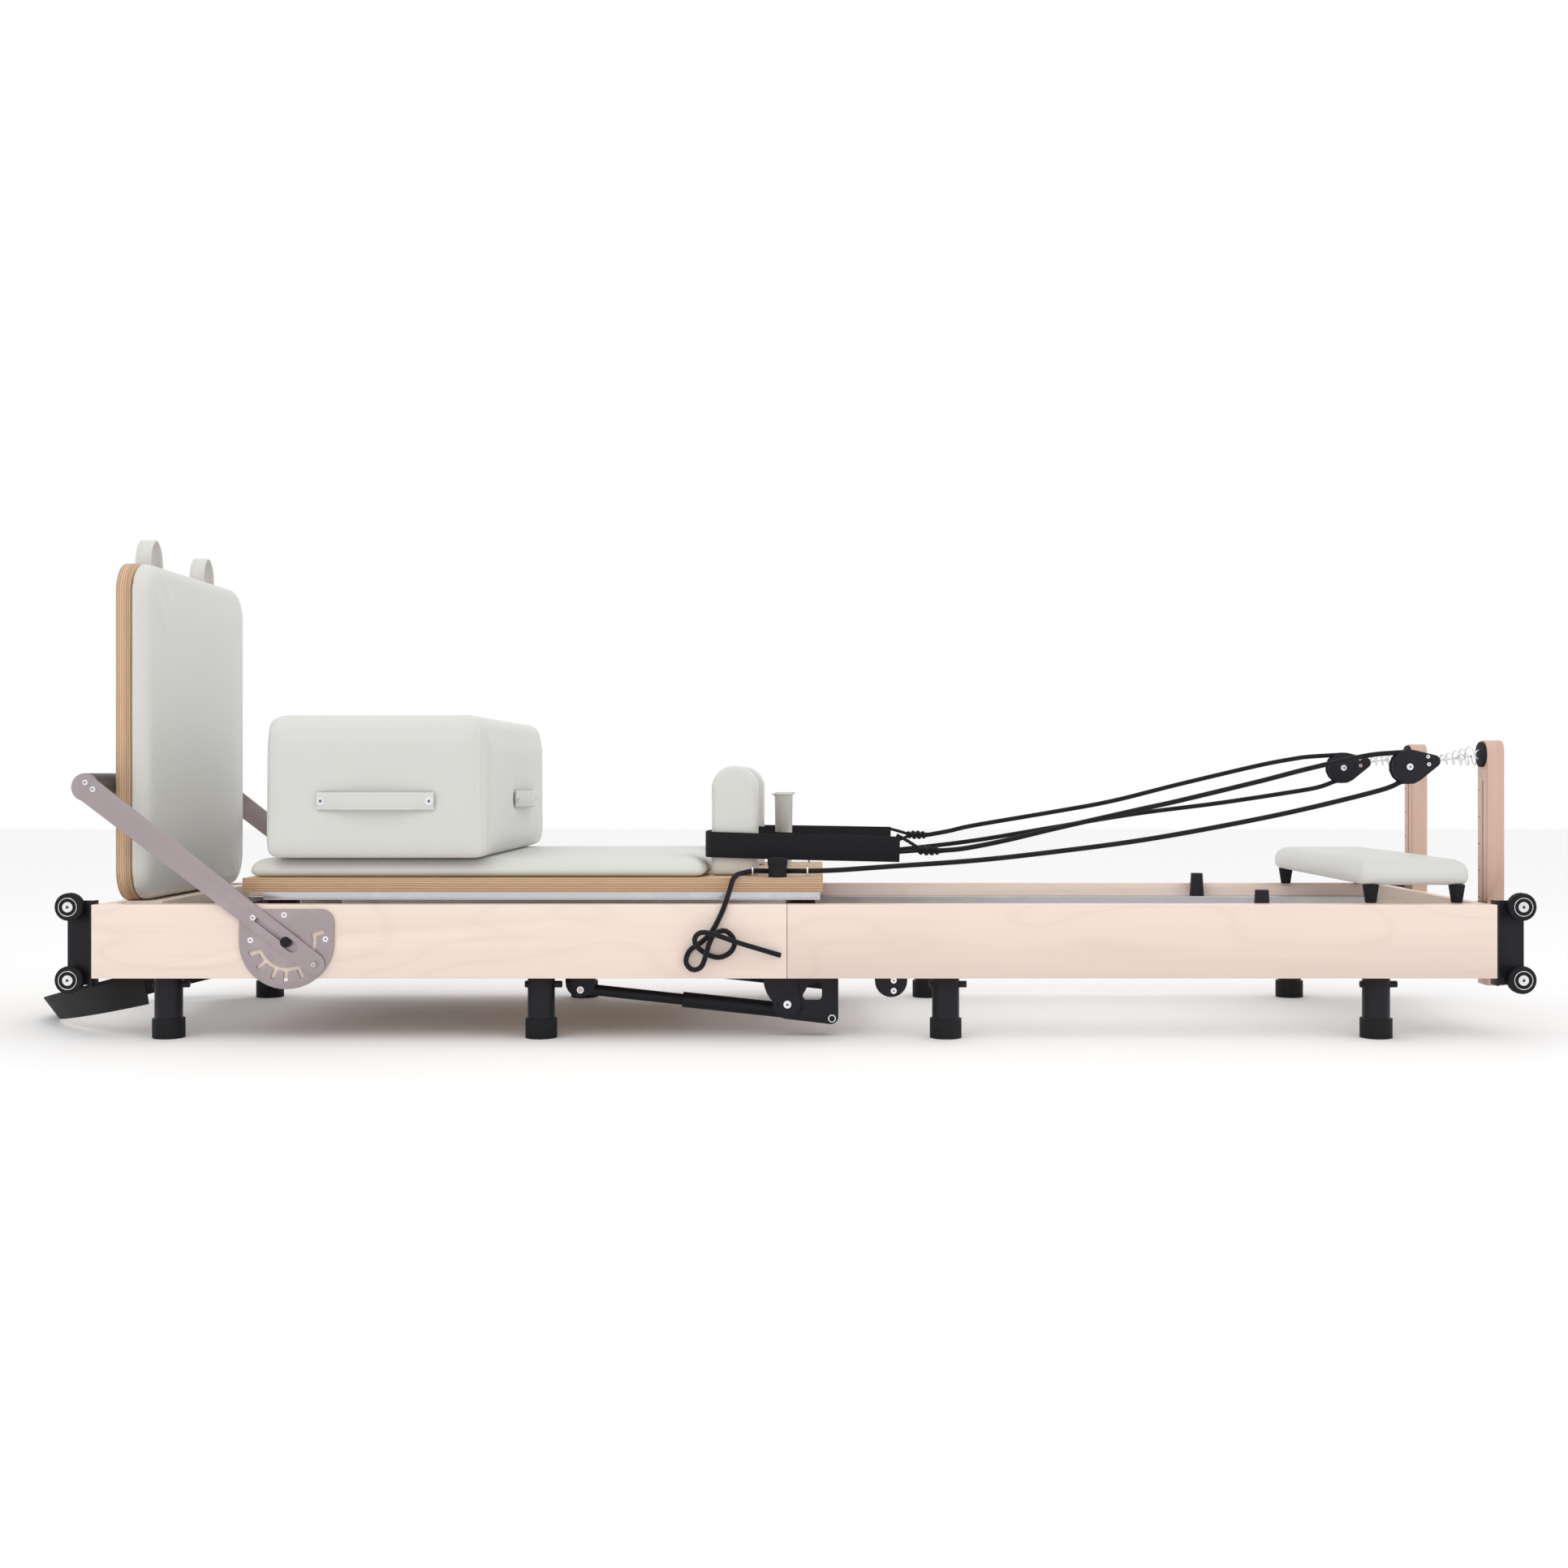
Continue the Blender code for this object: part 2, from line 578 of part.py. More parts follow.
def build_foot_strap(looks):
    """A webbing loop that hangs below the foot end, wide edge upright and leaning outwards."""
    strap = bmesh.new()
    thickness = 0.003
    route = foot_strap_outline()
    rings = []
    for n, point in enumerate(route):
        ahead = route[min(n + 1, len(route) - 1)] - route[max(n - 1, 0)]
        across = Vector((ahead.y, -ahead.x, 0.0)).normalized()
        share = max(0.0, (-1.062 - point.x) / 0.262)
        middle = 0.084 - 0.063 * share
        ring = []
        for out, up in ((0, -1), (1, -1), (1, 1), (0, 1)):
            lean = 0.008 * share * (up - 1)
            place = point - across * (lean * -1) + across * (out - 1) * thickness
            ring.append(strap.verts.new((place.x, place.y, middle + up * 0.018)))
        rings.append(ring)
    for first, second in zip(rings, rings[1:]):
        for n in range(4):
            strap.faces.new((first[n], first[(n + 1) % 4], second[(n + 1) % 4], second[n]))
    strap.faces.new(rings[0])
    strap.faces.new(rings[-1])
    node("foot_strap", strap, looks["webbing"])


# ---- springs --------------------------------------------------------------------------------

def build_springs(looks):
    """The spring bar under the foot end, and the springs that pull the carriage to it."""
    bar = bmesh.new()
    half = RAIL_INNER - TRACK_WALL - GAP
    add_box(bar, (-1.048, -half, 0.178), (-1.023, half, TRACK_TOP - TRACK_WALL - GAP))
    node("spring_bar", bar, looks["black_metal"], bevel=0.002)
    springs, hooks = bmesh.new(), bmesh.new()
    for y in (-0.15, -0.05, 0.05, 0.15):
        add_rod(springs, (-1.023 + GAP, y, SPRING_Z), (HOOK_X - 0.0035, y, SPRING_Z), 0.011, 12)
    add_rod(hooks, (HOOK_X - 0.0065, -0.156, SPRING_Z), (HOOK_X - 0.0065, 0.156, SPRING_Z), 0.003, 8)
    node("carriage_springs", unite("springs", springs, hooks), looks["chrome"])


# ---- carriage -------------------------------------------------------------------------------

def build_carriage(looks):
    """Deck with the rope cleats, pad, underframe, and the rollers on their two axles."""
    deck, cleats = bmesh.new(), bmesh.new()
    add_box(deck, (DECK_LEFT, -DECK_HALF_WIDTH, DECK_BOTTOM),
            (DECK_RIGHT, DECK_HALF_WIDTH, DECK_TOP))
    for y in (-CLEAT_Y, CLEAT_Y):
        add_cone(cleats, (CLEAT_X, y, DECK_TOP - 0.002), (CLEAT_X, y, DECK_TOP + 0.032),
                 0.0155, 0.0170, 18)
    node("carriage_deck", unite("deck", deck, cleats), looks["plywood"])

    pad = bmesh.new()
    add_box(pad, (-0.890, -0.292, DECK_TOP + GAP), (-0.095, 0.292, 0.310))
    node("carriage_pad", pad, looks["upholstery"], bevel=0.010, segments=2)

    top = DECK_BOTTOM - GAP
    strips, beams, blocks, bores = bmesh.new(), bmesh.new(), bmesh.new(), bmesh.new()
    for low, high in both_sides(0.2867, 0.2985):
        add_box(strips, (-0.858, low, 0.238), (0.102, high, top))
    for x, inward in zip(ROLLER_XS, (1, -1)):
        near, far = sorted((x + inward * 0.0235, x + inward * 0.0385))
        add_box(beams, (near, -0.2950, 0.239), (far, 0.2950, top - 0.0005))
        near, far = sorted((x - inward * 0.010, x + inward * 0.030))
        for low, high in both_sides(0.235, 0.2600):
            add_box(blocks, (near, low, 0.216), (far, high, 0.2480))
        add_rod(bores, (x, -0.27, ROLLER_Z + GAP), (x, 0.27, ROLLER_Z + GAP), AXLE_BORE, 12)
    hook = bmesh.new()
    bent = [(HOOK_X, 0.177), (HOOK_X + 0.003, 0.177), (HOOK_X + 0.003, 0.2420),
            (-0.8045, 0.2420), (-0.8045, 0.2452), (HOOK_X, 0.2452)]
    add_plate(hook, [bent], -0.18, 0.18)
    under = unite("underframe", strips, hook, blocks, beams)
    under = boolean("underframe", under, bores, "DIFFERENCE")
    node("carriage_underframe", under, looks["aluminium"])

    profile = [(0.002, 0.0), (0.0200, 0.0), (ROLLER_RADIUS, 0.002), (ROLLER_RADIUS, 0.018),
               (0.0200, 0.020), (0.002, 0.020)]
    for name, x in zip(("left_rollers", "right_rollers"), ROLLER_XS):
        rollers, axle = bmesh.new(), bmesh.new()
        lifted = ROLLER_Z + GAP
        for y in (-0.2635, 0.2835):
            add_turned(rollers, profile, facing_y(x, y, lifted))
        add_rod(axle, (x, -0.2850, lifted), (x, 0.2850, lifted), AXLE_RADIUS, 12)
        node(name, unite("rollers", rollers, axle), looks["black_rubber"], origin=(x, 0, lifted))


def build_shoulder_rests(looks):
    """Two arch-topped padded blocks on the carriage."""
    middle, radius, top = -0.0495, 0.0405, 0.472
    outline = ([(middle - radius, DECK_TOP + GAP), (middle + radius, DECK_TOP + GAP)]
               + arc((middle, top - radius), radius, 0, 180, 14))
    for row, (low, high) in zip(("front", "rear"), both_sides(0.1345, 0.2295)):
        rest = bmesh.new()
        add_plate(rest, [outline], low, high)
        node(f"{row}_shoulder_rest", rest, looks["upholstery"])


def build_loop_posts(looks):
    """Tapered posts with a rim, which the hand loops hang on."""
    for row, y in (("front", -0.122), ("rear", 0.122)):
        post, rim = bmesh.new(), bmesh.new()
        base = DECK_TOP + GAP
        add_cone(post, (0.034, y, base), (0.034, y, base + 0.140), 0.0125, 0.0145, 18)
        add_cone(rim, (0.034, y, base + 0.138), (0.034, y, base + 0.144), 0.0170, 0.0200, 18)
        node(f"{row}_loop_post", unite("post", post, rim), looks["upholstery"])


# ---- jump board, box, platform --------------------------------------------------------------

def rounded_rectangle(low, high, radius, steps=5):
    """A rectangle's outline with round corners."""
    (u0, v0), (u1, v1) = low, high
    return (arc((u1 - radius, v0 + radius), radius, -90, 0, steps)
            + arc((u1 - radius, v1 - radius), radius, 0, 90, steps)
            + arc((u0 + radius, v1 - radius), radius, 90, 180, steps)
            + arc((u0 + radius, v0 + radius), radius, 180, 270, steps))


def build_jump_board(looks):
    board = bmesh.new()
    outline = rounded_rectangle((-0.266, RAIL_TOP + GAP), (0.266, 0.828), 0.055)
    add_plate(board, [outline], -1.1255, -1.1008, "YZ")
    loops = bmesh.new()
    for y in (-0.14, 0.14):
        base = 0.828 - 0.003
        outer = [(y + 0.040 * math.cos(t), base + 0.055 * math.sin(t))
                 for t in (math.pi * n / 14 for n in range(15))]
        inner = [(y + 0.0365 * math.cos(t), base + 0.0515 * math.sin(t))
                 for t in (math.pi * n / 14 for n in range(14, -1, -1))]
        add_plate(loops, [outer + inner], -1.1245, -1.1018, "YZ")
    node("jump_board", unite("board", board, loops), looks["plywood"])

    pad = bmesh.new()
    add_plate(pad, [outline], -1.1005, -1.0600, "YZ")
    node("jump_board_pad", pad, looks["upholstery"], bevel=0.010, segments=2)


def handle_outline(start, end, base, reach):
    """A strap handle seen from above: flat tabs at both ends and a low arch between them."""
    tab, thickness, steps = 0.030, 0.004, 10
    rise = [(start + tab + (end - start - 2 * tab) * n / steps,
             math.sin(math.pi * n / steps)) for n in range(steps + 1)]
    outer = [(start, base + thickness)] + [(u, base + thickness + reach * s) for u, s in rise]
    inner = [(end, base)] + [(u, base + reach * s) for u, s in reversed(rise)]
    return outer + [(end, base + thickness)] + inner + [(start, base)]


def build_box(looks):
    """The sitting box with a strap handle on its front and one on its pulley end."""
    left, right, front = -0.853, -0.466, 0.328
    bottom, top = 0.3105, 0.557
    box, handles = bmesh.new(), bmesh.new()
    add_box(box, (left, -front, bottom), (right, front, top))
    edges = [edge for edge in box.edges]
    bmesh.ops.bevel(box, geom=edges, offset=0.018, segments=3, affect="EDGES", profile=0.5)
    face = handle_outline(-0.7577, -0.5575, front - 0.002, 0.014)
    add_plate(handles, [[(x, -y) for x, y in face]], 0.394, 0.424, "XY")
    end = handle_outline(-0.050, 0.170, right - 0.002, 0.014)
    add_plate(handles, [[(x, y) for y, x in end]], 0.394, 0.424, "XY")
    node("sitting_box", unite("box", box, handles), looks["upholstery"])


def build_platform(looks):
    """The padded standing platform on its four feet, which stand on the rails."""
    pad, feet = bmesh.new(), bmesh.new()
    add_box(pad, (1.029, -0.305, 0.262), (1.227, 0.305, 0.308))
    bmesh.ops.bevel(pad, geom=list(pad.edges), offset=0.010, segments=2, affect="EDGES", profile=0.5)
    for x in (1.055, 1.204):
        for y in (-0.286, 0.286):
            add_cone(feet, (x, y, RAIL_TOP + GAP), (x, y, 0.264), 0.015, 0.0155, 16)
    node("platform", unite("platform", pad, feet), looks["upholstery"])


# ---- fold struts ----------------------------------------------------------------------------

def build_struts(looks):
    """Telescopic struts: a rod pinned to the left half slides in a tube anchored on the right."""
    along = (STRUT_ANCHOR - STRUT_PIVOT).normalized()
    length = (STRUT_ANCHOR - STRUT_PIVOT).length
    for row, sign in (("front", -1), ("rear", 1)):
        pivot = STRUT_PIVOT + Vector((0.0, sign * STRUT_Y, 0.0))
        eye, rod, bore = bmesh.new(), bmesh.new(), bmesh.new()
        add_rod(eye, pivot - Vector((0, 0.010, 0)), pivot + Vector((0, 0.010, 0)), 0.011, 16)
        add_rod(rod, pivot + along * 0.0065, pivot + along * 0.228, 0.0098, 14)
        add_rod(bore, pivot - Vector((0, 0.02, 0)), pivot + Vector((0, 0.02, 0)), AXLE_BORE, 12)
        whole = boolean("strut_rod", unite("strut_rod", eye, rod), bore, "DIFFERENCE")
        node(f"{row}_strut_rod", whole, looks["black_metal"], origin=STRUT_PIVOT)
        tube, hollow = bmesh.new(), bmesh.new()
        add_rod(tube, pivot + along * 0.178, pivot + along * (length + 0.006), 0.0135, 18)
        add_rod(hollow, pivot + along * 0.170, pivot + along * 0.388, 0.0106, 18)
        tube = boolean("strut_tube", tube, hollow, "DIFFERENCE")
        node(f"{row}_strut_tube", tube, looks["black_metal"], origin=STRUT_PIVOT)


# ---- pulleys --------------------------------------------------------------------------------

def build_pulley_side(side, sign, looks):
    """A sliding post with its eyebolt, the block with its spring, and the sheave."""
    y = sign * PULLEY_Y
    post, discs = bmesh.new(), bmesh.new()
    outline = ([(y - POST_HALF, POST_BOTTOM), (y + POST_HALF, POST_BOTTOM)]
               + arc((y + POST_HALF - 0.018, POST_TOP - 0.018), 0.018, 0, 90, 5)
               + arc((y - POST_HALF + 0.018, POST_TOP - 0.018), 0.018, 90, 180, 5))
    slot = arc((y, 0.440), 0.004, 180, 0, 4) + arc((y, 0.104), 0.004, 0, -180, 4)
    add_plate(post, [outline, slot], POST_LEFT, POST_RIGHT, "YZ")
    add_rod(discs, (POST_LEFT - 0.0053, y, EYE_Z), (POST_LEFT + 0.002, y, EYE_Z), 0.0225, 20)
    add_rod(discs, (POST_RIGHT - 0.002, y, EYE_Z), (POST_RIGHT + 0.0060, y, EYE_Z), 0.0070, 12)
    node(f"{side}_post", unite("post", post, discs), looks["post_wood"])

    cheeks, bridge, axle, spring = bmesh.new(), bmesh.new(), bmesh.new(), bmesh.new()
    tip = (1.190, 0.478)
    cheek = hull_of_circles((PULLEY_X, PULLEY_Z), 0.031, tip, 0.011, 10)
    for low, high in both_sides(0.0072, 0.0102):
        add_plate(cheeks, [cheek], y + low, y + high)
    add_rod(bridge, (tip[0], y - 0.0090, tip[1]), (tip[0], y + 0.0090, tip[1]), 0.0090, 14)
    add_rod(axle, (PULLEY_X, y - 0.0115, PULLEY_Z), (PULLEY_X, y + 0.0115, PULLEY_Z),
            AXLE_RADIUS, 10)
    add_cone(spring, (1.1930, y, 0.4790), (1.2660, y, 0.4884), 0.0066, 0.0190, 16)
    hinge = (1.2715, y, EYE_Z)
    block = unite("block", cheeks, bridge, axle, spring)
    node(f"{side}_pulley_block", block, looks["black_metal"], origin=hinge)

    sheave = bmesh.new()
    half = 0.0067
    profile = [(AXLE_BORE, half), (0.0275, half), (0.0275, 0.0057), (0.0190, 0.0050),
               (0.0190, -0.0050), (0.0275, -0.0057), (0.0275, -half), (AXLE_BORE, -half)]
    add_turned(sheave, profile, facing_y(PULLEY_X, y, PULLEY_Z), 24)
    node(f"{side}_sheave", sheave, looks["black_metal"], origin=(PULLEY_X, y, PULLEY_Z))


# ---- hand straps and ropes ------------------------------------------------------------------

STRAP_LOOP = [(0.243, -0.2080, 0), (0.150, -0.2260, 0), (0.050, -0.2400, 0), (-0.050, -0.2370, 0),
              (-0.088, -0.2350, 0), (-0.0985, -0.2200, 0), (-0.1000, -0.1800, 0),
              (-0.0985, -0.1400, 0), (-0.088, -0.1240, 0), (-0.030, -0.1250, 0),
              (0.020, -0.1440, 0), (0.150, -0.1820, 0), (0.243, -0.2010, 0)]

FRONT_UPPER = [(0.318, -0.2030, 0.3192), (0.361, -0.2030, 0.3235), (0.434, -0.2030, 0.3379),
               (0.520, -0.2030, 0.3585), (0.665, -0.2030, 0.3914), (0.737, -0.2030, 0.4072),
               (0.881, -0.2030, 0.4419), (0.953, -0.2030, 0.4607), (1.026, -0.2030, 0.4780),
               (1.083, -0.2030, 0.4895)]
FRONT_LOWER = [(1.098, -0.2040, 0.4268), (0.953, -0.2100, 0.3914), (0.809, -0.2170, 0.3625),
               (0.665, -0.2260, 0.3379), (0.520, -0.2360, 0.3192), (0.376, -0.2480, 0.3040),
               (0.229, -0.2620, 0.2943), (0.140, -0.2720, 0.2885)]
REAR_UPPER = [(0.318, 0.2030, 0.3340), (0.361, 0.2030, 0.3420), (0.410, 0.2030, 0.3530),
              (0.572, 0.2030, 0.3806), (0.686, 0.2030, 0.4017), (0.816, 0.2030, 0.4342),
              (0.978, 0.2030, 0.4725), (1.055, 0.2030, 0.4870), (1.083, 0.2030, 0.4905)]
REAR_LOWER = [(1.098, 0.2040, 0.4290), (1.030, 0.2070, 0.4170), (0.897, 0.2120, 0.3968),
              (0.735, 0.2200, 0.3757), (0.572, 0.2320, 0.3482), (0.410, 0.2450, 0.3206),
              (0.264, 0.2590, 0.3027), (0.140, 0.2720, 0.2895)]
BIGHT_RADIUS = 0.0268
EYELET_Z = DECK_TOP + GAP + 0.0105
FITTINGS = [(0.110, -0.2750, 0.2874), (0.080, -0.2770, EYELET_Z), (0.052, -0.2620, 0.2862),
            (0.028, -0.2520, 0.2850), (0.004, -0.2620, 0.2862), (-0.015, -0.2770, EYELET_Z)]
TAIL = [(-0.032, -0.2880, 0.2838), (-0.041, -0.3000, 0.2815),
        (-0.0475, -0.3105, 0.2745), (-0.0520, -0.3200, 0.2590), (-0.0570, -0.3315, 0.2425),
        (-0.0659, -0.3370, 0.2183), (-0.0825, -0.3370, 0.1865), (-0.1005, -0.3370, 0.1686),
        (-0.1198, -0.3375, 0.1547), (-0.1264, -0.3400, 0.1354), (-0.1157, -0.3440, 0.1229),
        (-0.1005, -0.3475, 0.1271), (-0.0922, -0.3495, 0.1464), (-0.0867, -0.3495, 0.1658),
        (-0.0784, -0.3490, 0.1824), (-0.0604, -0.3480, 0.1893), (-0.0466, -0.3460, 0.1782),
        (-0.0438, -0.3440, 0.1644), (-0.0521, -0.3420, 0.1506), (-0.0701, -0.3390, 0.1430),
        (-0.0900, -0.3385, 0.1480), (-0.1066, -0.3480, 0.1624), (-0.1104, -0.3540, 0.1769),
        (-0.0983, -0.3590, 0.1872), (-0.0740, -0.3605, 0.1830), (-0.0400, -0.3580, 0.1709),
        (-0.0051, -0.3450, 0.1589), (0.035, -0.3400, 0.1464)]


def build_hand_strap(side, sign, looks):
    """A webbing loop round the shoulder rest, its two rope legs and the knot they meet in."""
    strap = bmesh.new()
    route = smooth_route(STRAP_LOOP, 0.018)
    outer, inner = [], []
    for n, point in enumerate(route):
        ahead = route[min(n + 1, len(route) - 1)] - route[max(n - 1, 0)]
        across = Vector((ahead.y, -ahead.x, 0.0)).normalized() * 0.0015
        outer.append(point + across)
        inner.append(point - across)
    outline = [(point.x, sign * -point.y) for point in outer + inner[::-1]]
    add_plate(strap, [outline], STRAP_BOTTOM, STRAP_TOP, "XY")
    knot_z = (FRONT_UPPER if sign < 0 else REAR_UPPER)[0][2]
    y = sign * 0.2040
    legs, knot, seam = bmesh.new(), bmesh.new(), bmesh.new()
    for z in (STRAP_BOTTOM + 0.005, STRAP_TOP - 0.005):
        add_rod(legs, (0.2388, y, z), (0.2800, y, knot_z + (z - knot_z) * 0.1), 0.0030, 9)
    add_rod(knot, (0.2750, y, knot_z), (0.3160, y, knot_z), 0.0085, 12)
    add_box(seam, (0.2352, y - 0.0052, STRAP_BOTTOM + 0.001), (0.2417, y + 0.0052, STRAP_TOP - 0.001))
    whole = unite("strap", strap, seam, legs, knot)
    node(f"{side}_hand_strap", whole, looks["webbing"])


def build_ropes(looks):
    """Each rope: hand loop to pulley, round the sheave, back to the eyelets and cleat, then a tail."""
    for side, sign, upper, lower in (("front", -1, FRONT_UPPER, FRONT_LOWER),
                                     ("rear", 1, REAR_UPPER, REAR_LOWER)):
        bight = [(x, sign * PULLEY_Y, z)
                 for x, z in arc((PULLEY_X, PULLEY_Z), BIGHT_RADIUS, 105, -110, 9)]
        tail = [(x, sign * -y, z) for x, y, z in FITTINGS + TAIL]
        rope = bmesh.new()
        add_tube(rope, smooth_route(upper + bight + lower, 0.026)[:-1] + smooth_route(
            [lower[-1]] + tail, 0.013), ROPE_RADIUS)
        node(f"{side}_rope", rope, looks["rope"])


def main():
    clear_scene()
    for name in ("reformer", "cutters"):
        collection = bpy.data.collections.new(name)
        bpy.context.scene.collection.children.link(collection)
    looks = make_materials()
    build_left_frame(looks)
    build_right_frame(looks)
    build_legs("left", LEG_XS_LEFT, looks)
    build_legs("right", LEG_XS_RIGHT, looks)
    build_hinge_plates(looks)
    build_wheel_brackets(looks)
    build_wheels(looks)
    build_notch_plates(looks)
    build_foot_bar(looks)
    build_foot_strap(looks)
    build_springs(looks)
    build_carriage(looks)
    build_shoulder_rests(looks)
    build_loop_posts(looks)
    build_jump_board(looks)
    build_box(looks)
    build_platform(looks)
    build_struts(looks)
    for side, sign in (("front", -1), ("rear", 1)):
        build_pulley_side(side, sign, looks)
        build_hand_strap(side, sign, looks)
    build_ropes(looks)


main()
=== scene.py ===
"""A folding wooden reformer: finished pieces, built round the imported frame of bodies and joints."""

import json
import math

import bmesh
import bpy
from bpy.props import FloatProperty, FloatVectorProperty, PointerProperty
from mathutils import Matrix, Vector
from mathutils.bvhtree import BVHTree

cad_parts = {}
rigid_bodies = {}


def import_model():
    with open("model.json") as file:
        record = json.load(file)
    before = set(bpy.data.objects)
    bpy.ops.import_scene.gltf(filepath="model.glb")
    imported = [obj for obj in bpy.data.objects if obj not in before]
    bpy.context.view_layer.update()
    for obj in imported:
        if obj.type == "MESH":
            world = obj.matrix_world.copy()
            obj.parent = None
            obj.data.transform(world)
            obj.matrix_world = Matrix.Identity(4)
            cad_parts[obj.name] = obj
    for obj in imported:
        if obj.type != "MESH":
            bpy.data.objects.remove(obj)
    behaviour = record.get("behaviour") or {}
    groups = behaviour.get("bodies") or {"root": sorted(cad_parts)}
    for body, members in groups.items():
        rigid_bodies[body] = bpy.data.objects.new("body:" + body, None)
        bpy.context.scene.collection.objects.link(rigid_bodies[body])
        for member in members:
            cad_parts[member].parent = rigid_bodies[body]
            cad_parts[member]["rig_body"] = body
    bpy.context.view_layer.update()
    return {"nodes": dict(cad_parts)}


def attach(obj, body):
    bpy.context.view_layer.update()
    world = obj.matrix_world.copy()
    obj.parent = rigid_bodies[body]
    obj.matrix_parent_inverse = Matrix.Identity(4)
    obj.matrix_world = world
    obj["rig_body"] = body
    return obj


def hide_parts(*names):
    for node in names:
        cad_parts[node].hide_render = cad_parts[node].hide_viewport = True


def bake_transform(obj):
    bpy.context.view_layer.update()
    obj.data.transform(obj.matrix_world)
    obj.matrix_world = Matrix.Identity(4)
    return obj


bl_info = {
    "name": "Folding Reformer",
    "version": (1, 0, 0),
    "blender": (4, 5, 0),
    "location": "View3D > Sidebar > Reformer",
    "description": "Builds a folding wooden reformer piece by piece",
    "category": "Add Mesh",
}

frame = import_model()

GAP = 0.0003                # clearance between pieces that touch
FOLD_X, HINGE_Z = 0.0455, 0.057
RAIL_BOTTOM, RAIL_TOP, DECK_TOP = 0.106, 0.232, 0.276
WHEEL_XS = {"left": -1.1814, "right": 1.3016}
WHEEL_ZS = {"upper": 0.228, "lower": 0.103}
WHEEL_OUTER_Y = 0.3335
BAR_TUBE = Vector((-1.150, 0.0, 0.4327))
STRUT_PIVOT = Vector((-0.3157, 0.0, 0.079))
STRUT_ANCHOR = Vector((0.1225, 0.0, 0.0323))
PULLEY_X, PULLEY_Y, PULLEY_Z = 1.146, 0.203, 0.468
POST_LEFT, POST_RIGHT, EYE_Z = 1.279, 1.309, 0.490
CLEAT_X, CLEAT_Y = 0.028, 0.277
SPRING_Z = 0.190
SPRING_HOOKS = (-1.0195, -0.8590)
SPRING_YS = (-0.15, -0.05, 0.05, 0.15)
HANDLE_Z = 0.409            # height of the sitting box's handles
LEG_CAP_TOP = 0.0335
ROPE_RADIUS = 0.0045
BIGHT_RADIUS = 0.0268
ROPE_SPLITS = (0.88, 1.02)  # where one run of rope gives way to the next
SIDES = (("front", -1), ("rear", 1))


# ---- sizes and colours ----------------------------------------------------------------------

def length(name, description, default, low=0.0001, high=1.0):
    return FloatProperty(name=name, description=description, default=default, min=low, max=high,
                         subtype="DISTANCE", unit="LENGTH", precision=4)


def colour(name, description, default):
    return FloatVectorProperty(name=name, description=description, default=default, size=3,
                               min=0.0, max=1.0, subtype="COLOR")


class ReformerSizes(bpy.types.PropertyGroup):
    """Sizes that can be changed without touching the frame."""
    edge: length("Edge rounding", "Rounding of the wooden edges", 0.0022)
    stitch_pitch: length("Stitch pitch", "Distance from stitch to stitch", 0.0052)
    stitch_radius: length("Thread radius", "Half the thickness of the thread", 0.00045)
    wire: length("Spring wire", "Radius of the carriage springs' wire", 0.0013)
    coil: length("Spring radius", "Radius of the carriage springs' coils", 0.0095)
    bolt: length("Bolt radius", "Radius of the small button-head bolts", 0.0048)
    floor: length("Floor size", "Half the side of the floor", 12.0, 1.0, 50.0)


class ReformerColours(bpy.types.PropertyGroup):
    """Colours of the finishes."""
    maple: colour("Maple", "Pale wood of the rails", (0.860, 0.715, 0.625))
    maple_dark: colour("Maple grain", "Grain lines of the rails", (0.730, 0.555, 0.455))
    post: colour("Post wood", "Wood of the pulley posts", (0.640, 0.435, 0.340))
    post_dark: colour("Post grain", "Grain of the pulley posts", (0.480, 0.295, 0.215))
    ply: colour("Plywood", "Light layers of the plywood", (0.700, 0.485, 0.300))
    ply_dark: colour("Plywood glue", "Dark layers of the plywood", (0.250, 0.130, 0.065))
    hide: colour("Upholstery", "Pale synthetic leather", (0.640, 0.640, 0.612))
    thread: colour("Thread", "Stitching of the upholstery", (0.830, 0.830, 0.810))
    black: colour("Powder coat", "Black metal parts", (0.0075, 0.0075, 0.0120))
    rubber: colour("Rubber", "Caps, tyres and rollers", (0.010, 0.010, 0.012))
    steel: colour("Arm coat", "Metallic coat of arms and plates", (0.365, 0.310, 0.322))
    web: colour("Webbing", "Black webbing and rope", (0.0065, 0.0065, 0.0085))


# ---- shader groups --------------------------------------------------------------------------

def add_socket(tree, name, kind, way, default=None):
    made = tree.interface.new_socket(name=name, in_out=way, socket_type=kind)
    if default is not None:
        made.default_value = default
    return made


